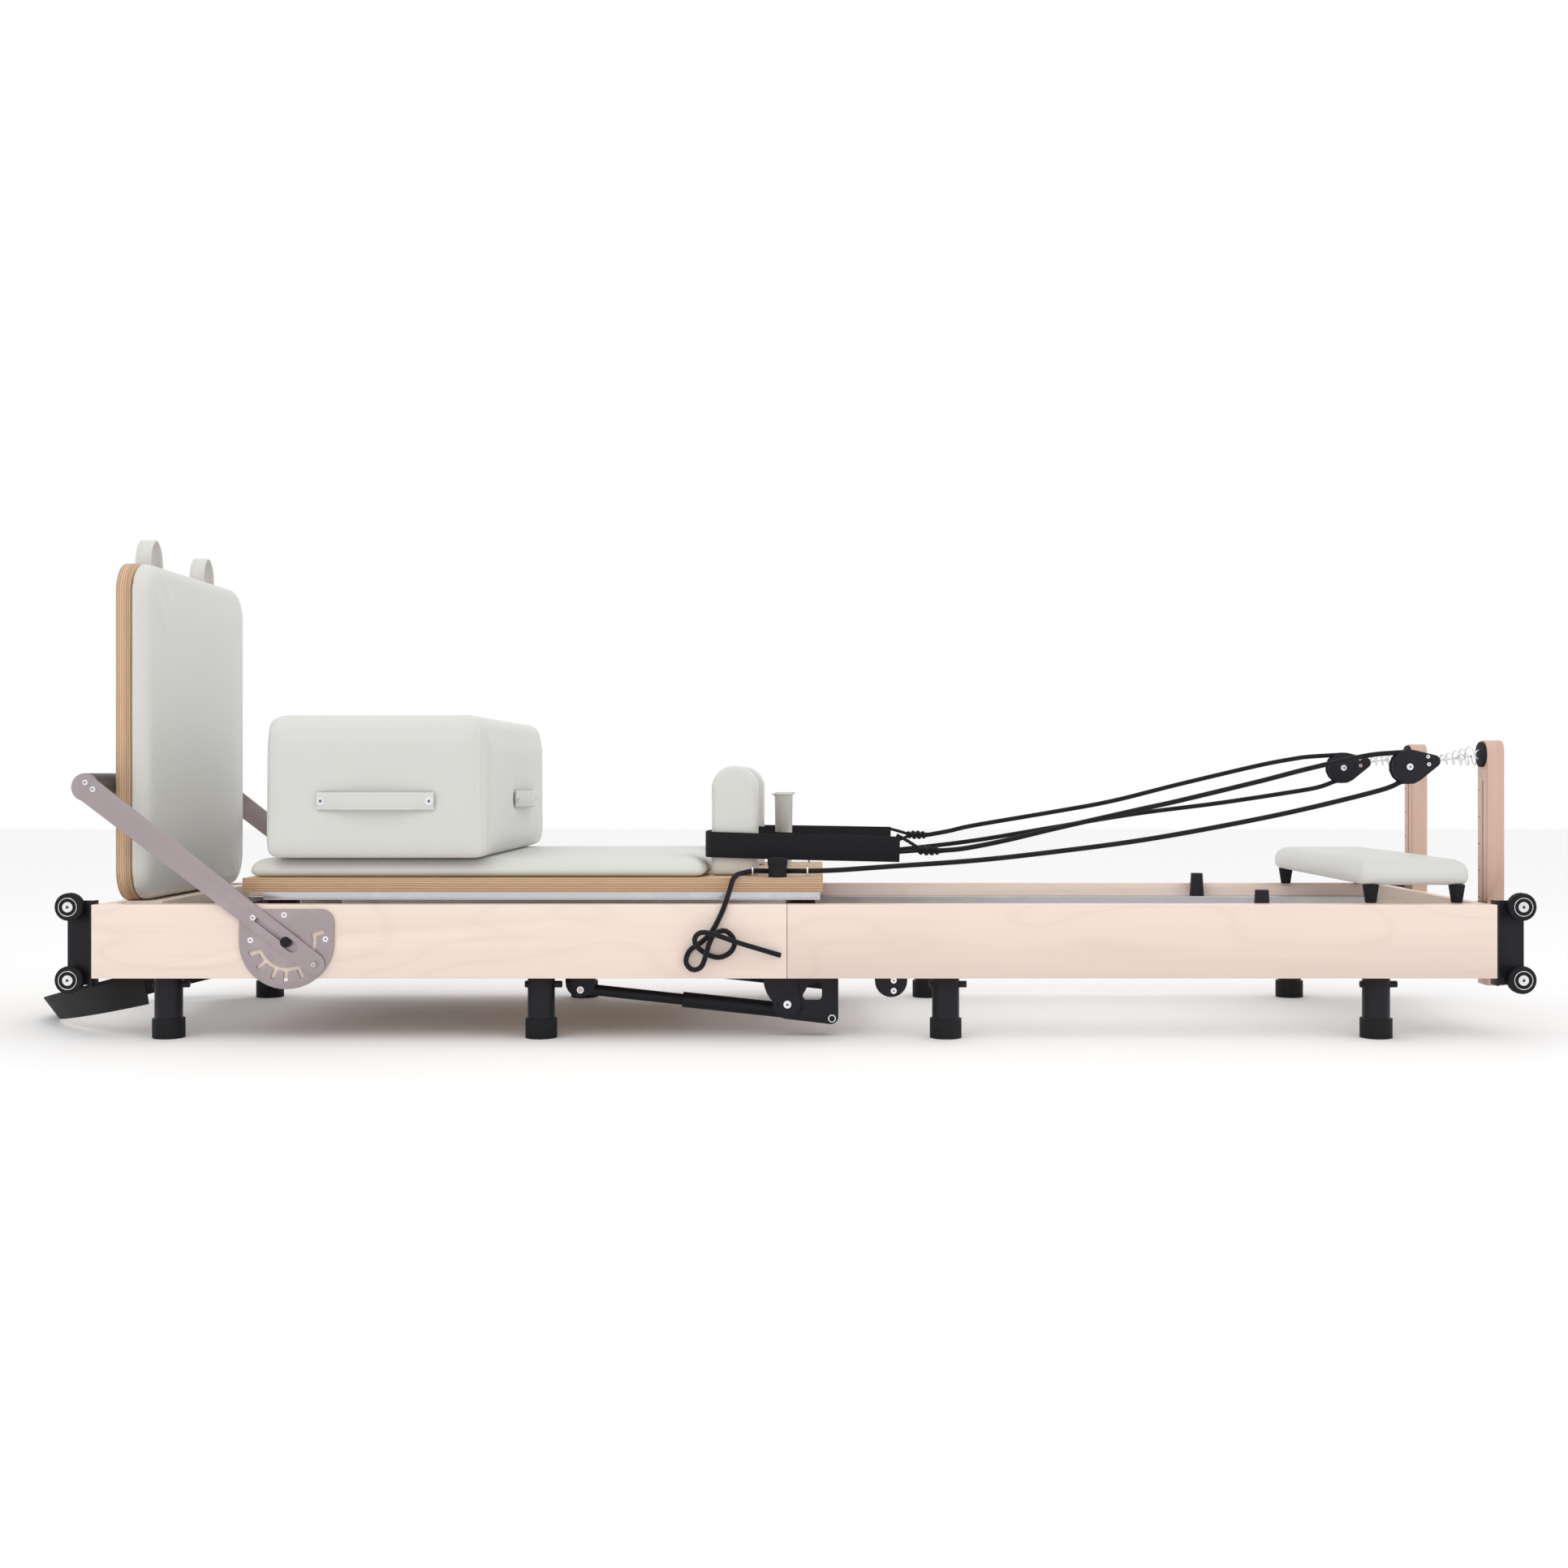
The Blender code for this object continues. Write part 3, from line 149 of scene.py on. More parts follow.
class Wiring:
    """Short ways to add nodes to a tree and join them."""

    def __init__(self, tree):
        self.tree = tree

    def add(self, kind, settings=None, **inputs):
        node = self.tree.nodes.new(kind)
        for name, value in (settings or {}).items():
            setattr(node, name, value)
        for name, value in inputs.items():
            self.put(node.inputs[name.replace("_", " ")], value)
        return node

    def put(self, socket, value):
        if isinstance(value, bpy.types.NodeSocket):
            self.tree.links.new(value, socket)
        else:
            socket.default_value = value

    def math(self, operation, first, second=0.5, clamp=False):
        node = self.tree.nodes.new("ShaderNodeMath")
        node.operation = operation
        node.use_clamp = clamp
        self.put(node.inputs[0], first)
        self.put(node.inputs[1], second)
        return node.outputs[0]

    def mix(self, share, first, second, blend="MIX"):
        node = self.tree.nodes.new("ShaderNodeMix")
        node.data_type = "RGBA"
        node.blend_type = blend
        self.put(node.inputs[0], share)
        self.put(node.inputs[6], first)
        self.put(node.inputs[7], second)
        return node.outputs[2]

    def spread(self, value, low, high):
        node = self.add("ShaderNodeMapRange", Value=value)
        node.inputs["From Min"].default_value = low
        node.inputs["From Max"].default_value = high
        return node.outputs[0]

    def stretch(self, vector, scale, turn=(0, 0, 0)):
        node = self.add("ShaderNodeMapping", Vector=vector)
        node.inputs["Scale"].default_value = scale
        node.inputs["Rotation"].default_value = turn
        return node.outputs[0]

    def noise(self, vector, scale, detail=3.0, rough=0.5):
        return self.add("ShaderNodeTexNoise", Vector=vector, Scale=scale, Detail=detail,
                        Roughness=rough).outputs[0]


def start_group(name, inputs, outputs):
    tree = bpy.data.node_groups.new(name, "ShaderNodeTree")
    for label, kind, default in inputs:
        add_socket(tree, label, kind, "INPUT", default)
    for label, kind in outputs:
        add_socket(tree, label, kind, "OUTPUT")
    wiring = Wiring(tree)
    given, out = tree.nodes.new("NodeGroupInput"), tree.nodes.new("NodeGroupOutput")
    return wiring, given.outputs, out.inputs


COLOUR, FLOAT, VECTOR = "NodeSocketColor", "NodeSocketFloat", "NodeSocketVector"


def make_wood_group():
    """Grain along X: long cathedral figures, fine streaks and pores."""
    w, given, out = start_group(
        "wood grain",
        [("Vector", VECTOR, None), ("Light", COLOUR, (1, 1, 1, 1)), ("Dark", COLOUR, (0, 0, 0, 1)),
         ("Figure", FLOAT, 9.0), ("Contrast", FLOAT, 0.5)],
        [("Color", COLOUR), ("Height", FLOAT), ("Gloss", FLOAT)])
    at = given["Vector"]
    drift = w.noise(w.stretch(at, (0.9, 3.2, 3.2)), 1.6, 2.0)
    rings = w.math("MULTIPLY", drift, given["Figure"])
    rings = w.math("FRACT", rings)
    rings = w.math("ABSOLUTE", w.math("SUBTRACT", rings, 0.5))
    rings = w.math("POWER", w.math("MULTIPLY", rings, 2.0), 5.0)
    streaks = w.noise(w.stretch(at, (2.2, 95.0, 95.0)), 1.0, 5.0, 0.62)
    streaks = w.spread(streaks, 0.42, 0.72)
    patches = w.spread(w.noise(w.stretch(at, (1.1, 2.4, 2.4)), 1.7, 2.0), 0.35, 0.70)
    share = w.math("ADD", w.math("MULTIPLY", rings, 0.55), w.math("MULTIPLY", streaks, 0.42))
    share = w.math("ADD", share, w.math("MULTIPLY", patches, 0.28))
    share = w.math("MULTIPLY", share, given["Contrast"], True)
    w.put(out["Color"], w.mix(share, given["Light"], given["Dark"]))
    pores = w.noise(w.stretch(at, (60.0, 1300.0, 1300.0)), 1.0, 2.0)
    w.put(out["Height"], w.math("ADD", w.math("MULTIPLY", streaks, 0.6), pores))
    w.put(out["Gloss"], w.math("ADD", 0.36, w.math("MULTIPLY", streaks, 0.16)))


def make_layers_group():
    """Plywood's edge: light layers with thin glue lines, stacked along Z."""
    w, given, out = start_group(
        "plywood layers",
        [("Vector", VECTOR, None), ("Light", COLOUR, (1, 1, 1, 1)), ("Dark", COLOUR, (0, 0, 0, 1)),
         ("Layer", FLOAT, 0.0026)],
        [("Color", COLOUR), ("Height", FLOAT)])
    parts = w.add("ShaderNodeSeparateXYZ", Vector=given["Vector"]).outputs
    wave = w.noise(w.stretch(given["Vector"], (2.0, 2.0, 0.0)), 2.0, 2.0)
    level = w.math("ADD", w.math("DIVIDE", parts["Z"], given["Layer"]),
                   w.math("MULTIPLY", wave, 0.25))
    edge = w.math("ABSOLUTE", w.math("SUBTRACT", w.math("FRACT", level), 0.5))
    line = w.spread(edge, 0.30, 0.47)
    cell = w.add("ShaderNodeCombineXYZ", Z=w.math("FLOOR", level)).outputs[0]
    tone = w.add("ShaderNodeTexWhiteNoise", {"noise_dimensions": "3D"}, Vector=cell).outputs[0]
    fibre = w.noise(w.stretch(given["Vector"], (30.0, 30.0, 700.0)), 1.0, 4.0)
    share = w.math("ADD", w.math("MULTIPLY", line, 0.72), w.math("MULTIPLY", tone, 0.42))
    share = w.math("ADD", share, w.math("MULTIPLY", w.spread(fibre, 0.4, 0.8), 0.22), True)
    w.put(out["Color"], w.mix(share, given["Light"], given["Dark"]))
    w.put(out["Height"], w.math("ADD", fibre, w.math("MULTIPLY", line, -0.7)))


def make_hide_group():
    """Fine pebble of a coated cloth, with soft creases and a little soiling."""
    w, given, out = start_group(
        "hide grain",
        [("Vector", VECTOR, None), ("Base", COLOUR, (1, 1, 1, 1)), ("Pebble", FLOAT, 620.0)],
        [("Color", COLOUR), ("Height", FLOAT), ("Gloss", FLOAT)])
    at = given["Vector"]
    cells = w.add("ShaderNodeTexVoronoi", {"feature": "SMOOTH_F1"}, Vector=at,
                  Scale=given["Pebble"], Smoothness=0.6).outputs["Distance"]
    creases = w.noise(at, 24.0, 5.0, 0.55)
    broad = w.spread(w.noise(at, 3.1, 2.0), 0.3, 0.7)
    dim = w.math("ADD", w.math("MULTIPLY", cells, 0.10), w.math("MULTIPLY", broad, 0.06), True)
    shade = w.mix(1.0, given["Base"], (0.86, 0.86, 0.84, 1.0), "MULTIPLY")
    w.put(out["Color"], w.mix(w.math("MULTIPLY", dim, 2.2, True), given["Base"], shade))
    w.put(out["Height"], w.math("ADD", w.math("MULTIPLY", cells, 0.7),
                                w.math("MULTIPLY", creases, 0.5)))
    w.put(out["Gloss"], w.math("ADD", 0.37, w.math("MULTIPLY", creases, 0.16)))


def make_weave_group():
    """A plain weave on a band's own UV map, which is in metres, and a mask of painted highlight on
    its crests.
    """
    w, given, out = start_group(
        "weave", [("Vector", VECTOR, None), ("Across", FLOAT, 900.0), ("Along", FLOAT, 600.0)],
        [("Mask", FLOAT), ("Height", FLOAT)])
    parts = w.add("ShaderNodeSeparateXYZ", Vector=given["Vector"]).outputs
    u = w.math("MULTIPLY", parts["X"], given["Across"])
    v = w.math("MULTIPLY", parts["Y"], given["Along"])
    warp = w.math("ABSOLUTE", w.math("SINE", w.math("MULTIPLY", u, math.pi)))
    shift = w.math("MULTIPLY", w.math("MODULO", w.math("FLOOR", u), 2.0), 0.5)
    weft = w.math("ABSOLUTE", w.math("SINE", w.math("MULTIPLY", w.math("ADD", v, shift), math.pi)))
    crossing = w.math("ADD", w.math("MULTIPLY", weft, 0.6), 0.4)
    w.put(out["Height"], w.math("MULTIPLY", warp, crossing))
    # painted highlight: the mask is highest on the thread crests, where the weave stands highest,
    # broken up by noise
    fuzz = w.noise(w.stretch(given["Vector"], (400.0, 400.0, 400.0)), 1.0, 2.0)
    w.put(out["Mask"], w.math("MULTIPLY", w.math("MULTIPLY", warp, weft), fuzz, True))


def make_wear_group():
    """Fine texture of a coat, and the rubbed patches that a used surface has."""
    w, given, out = start_group(
        "coat wear",
        [("Vector", VECTOR, None), ("Texture", FLOAT, 1500.0), ("Patches", FLOAT, 11.0)],
        [("Mask", FLOAT), ("Height", FLOAT)])
    at = given["Vector"]
    patches = w.noise(at, given["Patches"], 9.0, 0.68)
    w.put(out["Mask"], w.spread(patches, 0.52, 0.80))
    w.put(out["Height"], w.noise(at, given["Texture"], 2.0))


# ---- materials ------------------------------------------------------------------------------

class Finish:
    """A Principled material under construction."""

    def __init__(self, name, base, roughness=0.5, metallic=0.0, **constants):
        self.material = bpy.data.materials.new(name)
        self.material.use_nodes = True
        self.material.diffuse_color = (*base, 1.0)
        self.shader = self.material.node_tree.nodes["Principled BSDF"]
        self.wiring = Wiring(self.material.node_tree)
        self.constant("Base Color", (*base, 1.0))
        self.constant("Roughness", roughness)
        self.constant("Metallic", metallic)
        for socket, value in constants.items():
            self.constant(socket.replace("_", " "), value)

    def constant(self, socket, value):
        self.shader.inputs[socket].default_value = value

    def place(self, output="Object", turn=(0, 0, 0)):
        coordinates = self.wiring.add("ShaderNodeTexCoord").outputs[output]
        return self.wiring.stretch(coordinates, (1, 1, 1), turn)

    def effect(self, group, vector, **values):
        node = self.wiring.add("ShaderNodeGroup", {"node_tree": bpy.data.node_groups[group]})
        self.wiring.put(node.inputs["Vector"], vector)
        for name, value in values.items():
            self.wiring.put(node.inputs[name], value)
        return node.outputs

    def feed(self, socket, value):
        self.wiring.put(self.shader.inputs[socket], value)

    def bump(self, height, strength, distance):
        node = self.wiring.add("ShaderNodeBump", Height=height, Strength=strength,
                               Distance=distance)
        self.feed("Normal", node.outputs[0])


def wooden(name, light, dark, turn=(0, 0, 0), figure=9.0, contrast=0.5):
    finish = Finish(name, light, 0.42, Coat_Weight=0.12, Coat_Roughness=0.3)
    grain = finish.effect("wood grain", finish.place(turn=turn), Light=(*light, 1), Dark=(*dark, 1),
                          Figure=figure, Contrast=contrast)
    finish.feed("Base Color", grain["Color"])
    finish.feed("Roughness", grain["Gloss"])
    finish.bump(grain["Height"], 0.16, 0.0004)
    return finish.material


def layered(name, light, dark, turn=(0, 0, 0)):
    finish = Finish(name, light, 0.55)
    layers = finish.effect("plywood layers", finish.place(turn=turn), Light=(*light, 1),
                           Dark=(*dark, 1), Layer=0.0041)
    finish.feed("Base Color", layers["Color"])
    finish.bump(layers["Height"], 0.25, 0.0004)
    return finish.material


def coated(name, base, roughness, metallic=0.0, texture=1500.0, strength=0.10, **more):
    """A coat or bare metal with a fine texture, and rougher, paler rubbed patches."""
    finish = Finish(name, base, roughness, metallic, **more)
    wear = finish.effect("coat wear", finish.place(), Texture=texture)
    worn = tuple(min(1.0, c * 1.25 + 0.006) for c in base)
    finish.feed("Base Color", finish.wiring.mix(wear["Mask"], (*base, 1), (*worn, 1)))
    rough = finish.wiring.math("ADD", roughness, finish.wiring.math("MULTIPLY", wear["Mask"], 0.12))
    finish.feed("Roughness", rough)
    finish.bump(wear["Height"], strength, 0.0003)
    return finish.material


def woven(name, base, across, along, sheen=0.08):
    finish = Finish(name, base, 0.82, Sheen_Weight=sheen, Sheen_Roughness=0.5,
                    Specular_IOR_Level=0.2)
    weave = finish.effect("weave", finish.place("UV"), Across=across, Along=along)
    # painted highlight: the weave's crests are paler than the thread's own colour
    crest_highlight = tuple(min(1.0, c * 2.6 + 0.010) for c in base)
    finish.feed("Base Color", finish.wiring.mix(weave["Mask"], (*base, 1), (*crest_highlight, 1)))
    finish.bump(weave["Height"], 0.55, 0.0006)
    return finish.material


def upholstered(name, base, pebble=620.0):
    finish = Finish(name, base, 0.42, Sheen_Weight=0.08, Specular_IOR_Level=0.45)
    hide = finish.effect("hide grain", finish.place(), Base=(*base, 1), Pebble=pebble)
    finish.feed("Base Color", hide["Color"])
    finish.feed("Roughness", hide["Gloss"])
    finish.bump(hide["Height"], 0.20, 0.0006)
    return finish.material


LOOKS = {}


def make_looks(c):
    for make in (make_wood_group, make_layers_group, make_hide_group, make_weave_group,
                 make_wear_group):
        make()
    quarter = math.pi / 2
    LOOKS.update({
        "maple": wooden("maple", c.maple, c.maple_dark, figure=10.0, contrast=0.42),
        "maple_across": wooden("maple across", c.maple, c.maple_dark, (0, 0, quarter), 8.0, 0.42),
        "post_wood": wooden("post wood", c.post, c.post_dark, (0, quarter, 0), 12.0, 0.65),
        "veneer": wooden("birch veneer", c.ply, c.ply_dark, figure=13.0, contrast=0.26),
        "veneer_up": wooden("birch veneer upright", c.ply, c.ply_dark, (0, quarter, 0), 13.0, 0.26),
        "ply_flat": layered("plywood edge", c.ply, c.ply_dark),
        "ply_up": layered("plywood edge upright", c.ply, c.ply_dark, (0, quarter, 0)),
        "hide": upholstered("upholstery", c.hide),
        "thread": coated("thread", c.thread, 0.7, texture=3000.0),
        "black": coated("black powder coat", c.black, 0.44, strength=0.16, Specular_IOR_Level=0.25),
        "rubber": coated("rubber", c.rubber, 0.66, texture=900.0, strength=0.22,
                         Specular_IOR_Level=0.2),
        "foam": upholstered("black grip", (0.020, 0.020, 0.024), 420.0),
        "steel": coated("arm coat", c.steel, 0.34, 0.55, texture=2200.0, strength=0.06),
        "aluminium": coated("aluminium", (0.56, 0.56, 0.58), 0.30, 0.95, texture=700.0,
                            strength=0.05),
        "chrome": coated("chrome", (0.78, 0.78, 0.79), 0.12, 1.0, texture=500.0, strength=0.02),
        # painted shade: dark metal for the hexagon that stands for the shadow inside each bolt's
        # socket
        "socket": coated("bolt socket shade", (0.10, 0.10, 0.11), 0.4, 0.8),
        "web": woven("webbing", c.web, 850.0, 520.0),
        "rope": woven("braided rope", c.web, 420.0, 260.0, 0.10),
    })


# ---- shapes ---------------------------------------------------------------------------------

def arc(centre, radius, start, end, steps):
    """Points on a circle, from one angle in degrees to another, both included."""
    turns = [math.radians(start + (end - start) * n / steps) for n in range(steps + 1)]
    return [(centre[0] + radius * math.cos(t), centre[1] + radius * math.sin(t)) for t in turns]


def hull_of_circles(first, first_radius, second, second_radius):
    """The outline round two circles and their outer tangents."""
    across = Vector(second) - Vector(first)
    heading = math.degrees(math.atan2(across.y, across.x))
    lean = math.degrees(math.acos((first_radius - second_radius) / across.length))
    return (arc(second, second_radius, heading - lean, heading + lean, 10)
            + arc(first, first_radius, heading + lean, heading + 360 - lean, 10))


def smooth_route(points, spacing):
    """Points at an even spacing on a smooth curve through the route's own points."""
    points = [Vector(point) for point in points]
    ends = [2 * points[0] - points[1], *points, 2 * points[-1] - points[-2]]
    fine = []
    for n in range(1, len(ends) - 2):
        a, b, c, d = ends[n - 1:n + 3]
        for step in range(20):
            t = step / 20
            fine.append(0.5 * (2 * b + (c - a) * t + (2 * a - 5 * b + 4 * c - d) * t ** 2
                               + (3 * b - a - 3 * c + d) * t ** 3))
    fine.append(points[-1])
    lengths = measured(fine)[2]
    count = max(2, round(lengths[-1] / spacing))
    route, at = [], 0
    for n in range(count + 1):
        wanted = lengths[-1] * n / count
        while at < len(fine) - 2 and lengths[at + 1] < wanted:
            at += 1
        share = (wanted - lengths[at]) / max(lengths[at + 1] - lengths[at], 1e-9)
        route.append(fine[at].lerp(fine[at + 1], min(share, 1.0)))
    return route


def linked(name, data):
    """A new object of the scene."""
    thing = bpy.data.objects.new(name, data)
    bpy.context.scene.collection.objects.link(thing)
    return thing


def shaded(data, angle=40):
    """Smooth shading that keeps the edges sharper than an angle in degrees."""
    data.shade_smooth()
    data.set_sharp_from_angle(angle=math.radians(angle))


def piece(name, data, looks, body=None, replaces=(), smooth=35):
    """A finished object from a mesh or bmesh: its materials, shading, body and stand-ins."""
    if isinstance(data, bmesh.types.BMesh):
        shape = bpy.data.meshes.new(name)
        data.to_mesh(shape)
        data.free()
        data = shape
    if smooth:
        shaded(data, smooth)
    if looks:
        finishes = [face.material_index for face in data.polygons]
        data.materials.clear()
        for look in ([looks] if isinstance(looks, str) else looks):
            data.materials.append(LOOKS[look])
        last = len(data.materials) - 1
        for face, finish in zip(data.polygons, finishes):
            face.material_index = min(finish, last)
    thing = linked(name, data)
    if body:
        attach(thing, body)
    if replaces:
        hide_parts(*([replaces] if isinstance(replaces, str) else replaces))
    return thing


def settled(thing):
    """The object with its modifiers applied to a plain mesh."""
    bpy.context.view_layer.update()
    graph = bpy.context.evaluated_depsgraph_get()
    old, thing.data = thing.data, bpy.data.meshes.new_from_object(thing.evaluated_get(graph))
    thing.modifiers.clear()
    bpy.data.meshes.remove(old)
    return thing


def rounded(thing, width, segments=2):
    """Rounds the object's sharp edges."""
    bevel = thing.modifiers.new("rounding", "BEVEL")
    bevel.width = width
    bevel.segments = segments
    bevel.limit_method = "ANGLE"
    bevel.angle_limit = math.radians(32)
    bevel.use_clamp_overlap = True
    bevel.miter_outer = "MITER_ARC"
    settled(thing)
    shaded(thing.data)


def refined(node, looks, width, pick=None, segments=2, flat=1.0):
    """
    A CAD node's shape, welded, its edges rounded, and its faces given the finish that pick names.
    flat is the angle in degrees below which neighbouring faces become one.
    """
    source = frame["nodes"][node]
    mesh = bmesh.new()
    mesh.from_mesh(source.data)
    bmesh.ops.remove_doubles(mesh, verts=mesh.verts, dist=0.00002)
    if flat:
        bmesh.ops.dissolve_limit(mesh, angle_limit=math.radians(flat), verts=mesh.verts[:],
                                 edges=mesh.edges[:])
    for face in mesh.faces:
        face.material_index = pick(face.calc_center_median(), face.normal) if pick else 0
    thing = piece(f"{node}_finished", mesh, looks)
    rounded(thing, width, segments)
    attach(thing, source["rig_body"])
    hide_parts(node)
    return thing


def add_plate(mesh, outline, low, high, plane="XZ"):
    """A flat plate: a closed outline in a plane, from low to high across it."""
    def at(u, v, w):
        return {"XZ": (u, w, v), "XY": (u, v, w), "YZ": (w, u, v)}[plane]
    start = mesh.verts
    rings = [[start.new(at(u, v, w)) for u, v in outline] for w in (low, high)]
    faces = [mesh.faces.new(rings[0]), mesh.faces.new(rings[1])]
    count = len(outline)
    for n in range(count):
        m = (n + 1) % count
        faces.append(mesh.faces.new((rings[0][n], rings[0][m], rings[1][m], rings[1][n])))
    bmesh.ops.recalc_face_normals(mesh, faces=faces)
    return faces


def add_turned(mesh, profile, place, steps=28):
    """A turned shape: (radius, height) points from pole to pole or round a closed ring."""
    rings = []
    for radius, height in profile:
        if radius < 1e-7:
            rings.append([mesh.verts.new(place @ Vector((0, 0, height)))])
        else:
            rings.append([mesh.verts.new(place @ Vector((x, y, height)))
                          for x, y in arc((0, 0), radius, 0, 360, steps)[:-1]])
    closed = profile[0][0] > 1e-7 and profile[-1][0] > 1e-7
    pairs = list(zip(rings, rings[1:])) + ([(rings[-1], rings[0])] if closed else [])
    faces = []
    for first, second in pairs:
        for n in range(steps):
            m = (n + 1) % steps
            if len(first) == 1 and len(second) == 1:
                break
            if len(first) == 1:
                ring = (first[0], second[n], second[m])
            elif len(second) == 1:
                ring = (first[n], second[0], first[m])
            else:
                ring = (first[n], second[n], second[m], first[m])
            faces.append(mesh.faces.new(ring))
    bmesh.ops.recalc_face_normals(mesh, faces=faces)


def facing(direction, at):
    """The place of a shape whose Z axis points in a direction from a point."""
    turn = Vector(direction).to_track_quat("Z", "Y").to_matrix().to_4x4()
    return Matrix.Translation(at) @ turn


def add_rod(mesh, start, end, radius, steps=20):
    """A closed rod with softened ends."""
    start, end = Vector(start), Vector(end)
    tall = (end - start).length
    edge = min(radius * 0.2, tall * 0.2)
    profile = [(0, 0), (radius - edge, 0), (radius, edge), (radius, tall - edge),
               (radius - edge, tall), (0, tall)]
    add_turned(mesh, profile, facing(end - start, start), steps)


def measured(path):
    """The path's points, its direction at each, and how far along it each lies."""
    path = [Vector(p) for p in path]
    tangents = [(path[min(n + 1, len(path) - 1)] - path[max(n - 1, 0)]).normalized()
                for n in range(len(path))]
    along = [0.0]
    for before, after in zip(path, path[1:]):
        along.append(along[-1] + (after - before).length)
    return path, tangents, along


def add_tube(mesh, path, radius, sides=8):
    """A round tube along a path, with capped ends and a UV map in metres."""
    uv = mesh.loops.layers.uv.verify()
    path, tangents, along = measured(path)
    side = tangents[0].orthogonal().normalized()
    rings = []
    for point, tangent in zip(path, tangents):
        side = (side - tangent * side.dot(tangent)).normalized()
        other = tangent.cross(side)
        rings.append([mesh.verts.new(point + (side * math.cos(t) + other * math.sin(t)) * radius)
                      for t in (2 * math.pi * k / sides for k in range(sides))])
    girth = 2 * math.pi * radius
    for n in range(len(rings) - 1):
        for k in range(sides):
            m = (k + 1) % sides
            face = mesh.faces.new((rings[n][k], rings[n][m], rings[n + 1][m], rings[n + 1][k]))
            spots = ((k, n), (k + 1, n), (k + 1, n + 1), (k, n + 1))
            for loop, (a, b) in zip(face.loops, spots):
                loop[uv].uv = (a / sides * girth + along[b] * 0.6, along[b])
    for ring, centre, flip in ((rings[0], path[0], True), (rings[-1], path[-1], False)):
        for k in range(sides):
            m = (k + 1) % sides
            hub = mesh.verts.new(centre) if k == 0 else hub
            mesh.faces.new((hub, ring[m], ring[k]) if flip else (hub, ring[k], ring[m]))


def add_band(mesh, path, acrosses, width, thickness):
    """A flat band along a path, with a UV map in metres. acrosses is one direction or a list."""
    uv = mesh.loops.layers.uv.verify()
    path, tangents, along = measured(path)
    cut = [(-0.5, 0.25), (-0.47, 0.5), (0, 0.5), (0.47, 0.5), (0.5, 0.25),
           (0.5, -0.25), (0.47, -0.5), (0, -0.5), (-0.47, -0.5), (-0.5, -0.25)]
    rings = []
    for n, (point, tangent) in enumerate(zip(path, tangents)):
        across = Vector(acrosses[n] if isinstance(acrosses, list) else acrosses)
        across = (across - tangent * across.dot(tangent)).normalized()
        out = tangent.cross(across)
        rings.append([mesh.verts.new(point + across * a * width + out * b * thickness)
                      for a, b in cut])
    faces = []
    for n in range(len(rings) - 1):
        for k in range(len(cut)):
            m = (k + 1) % len(cut)
            face = mesh.faces.new((rings[n][k], rings[n][m], rings[n + 1][m], rings[n + 1][k]))
            for loop, (a, b) in zip(face.loops, ((k, n), (m, n), (m, n + 1), (k, n + 1))):
                loop[uv].uv = (cut[a][0] * width, along[b])
            faces.append(face)
    faces += [mesh.faces.new(rings[0]), mesh.faces.new(rings[-1])]
    bmesh.ops.recalc_face_normals(mesh, faces=faces)


def helix(start, end, radius_start, radius_end, turns, steps=12):
    """Points of a coil spring between two points, whose radius may grow along it."""
    start, end = Vector(start), Vector(end)
    place = facing(end - start, start)
    tall, count = (end - start).length, int(turns * steps)
    points = []
    for n in range(count + 1):
        t = n / count
        radius = radius_start + (radius_end - radius_start) * t
        turn = 2 * math.pi * turns * t
        points.append(place @ Vector((radius * math.cos(turn), radius * math.sin(turn), tall * t)))
    return points


# ---- geometry nodes: what repeats -----------------------------------------------------------

def geometry_tree(name, inputs):
    tree = bpy.data.node_groups.new(name, "GeometryNodeTree")
    add_socket(tree, "Geometry", "NodeSocketGeometry", "INPUT")
    for label, kind, default in inputs:
        add_socket(tree, label, kind, "INPUT", default)
    add_socket(tree, "Geometry", "NodeSocketGeometry", "OUTPUT")
    return Wiring(tree), tree.nodes.new("NodeGroupInput").outputs, tree.nodes.new("NodeGroupOutput")


def make_stitch_tree():
    """Short rounded threads along every edge path of the mesh."""
    w, given, out = geometry_tree("stitches", [
        ("Pitch", FLOAT, 0.005), ("Thread Radius", FLOAT, 0.0005),
        ("Thread", "NodeSocketMaterial", None)])
    curve = w.add("GeometryNodeMeshToCurve", Mesh=given["Geometry"]).outputs[0]
    even = w.add("GeometryNodeResampleCurve", {"mode": "LENGTH"}, Curve=curve,
                 Length=given["Pitch"])
    tall = w.math("MULTIPLY", given["Pitch"], 0.66)
    rod = w.add("GeometryNodeMeshCylinder", Vertices=6, Radius=given["Thread Radius"], Depth=tall)
    rod.inputs["Side Segments"].default_value = 2
    tangent = w.add("GeometryNodeInputTangent").outputs[0]
    turn = w.add("FunctionNodeAlignRotationToVector", {"axis": "Z"}, Vector=tangent).outputs[0]
    many = w.add("GeometryNodeInstanceOnPoints", Points=even.outputs[0], Instance=rod.outputs[0],
                 Rotation=turn).outputs[0]
    finish_tree(w, many, given["Thread"], out)


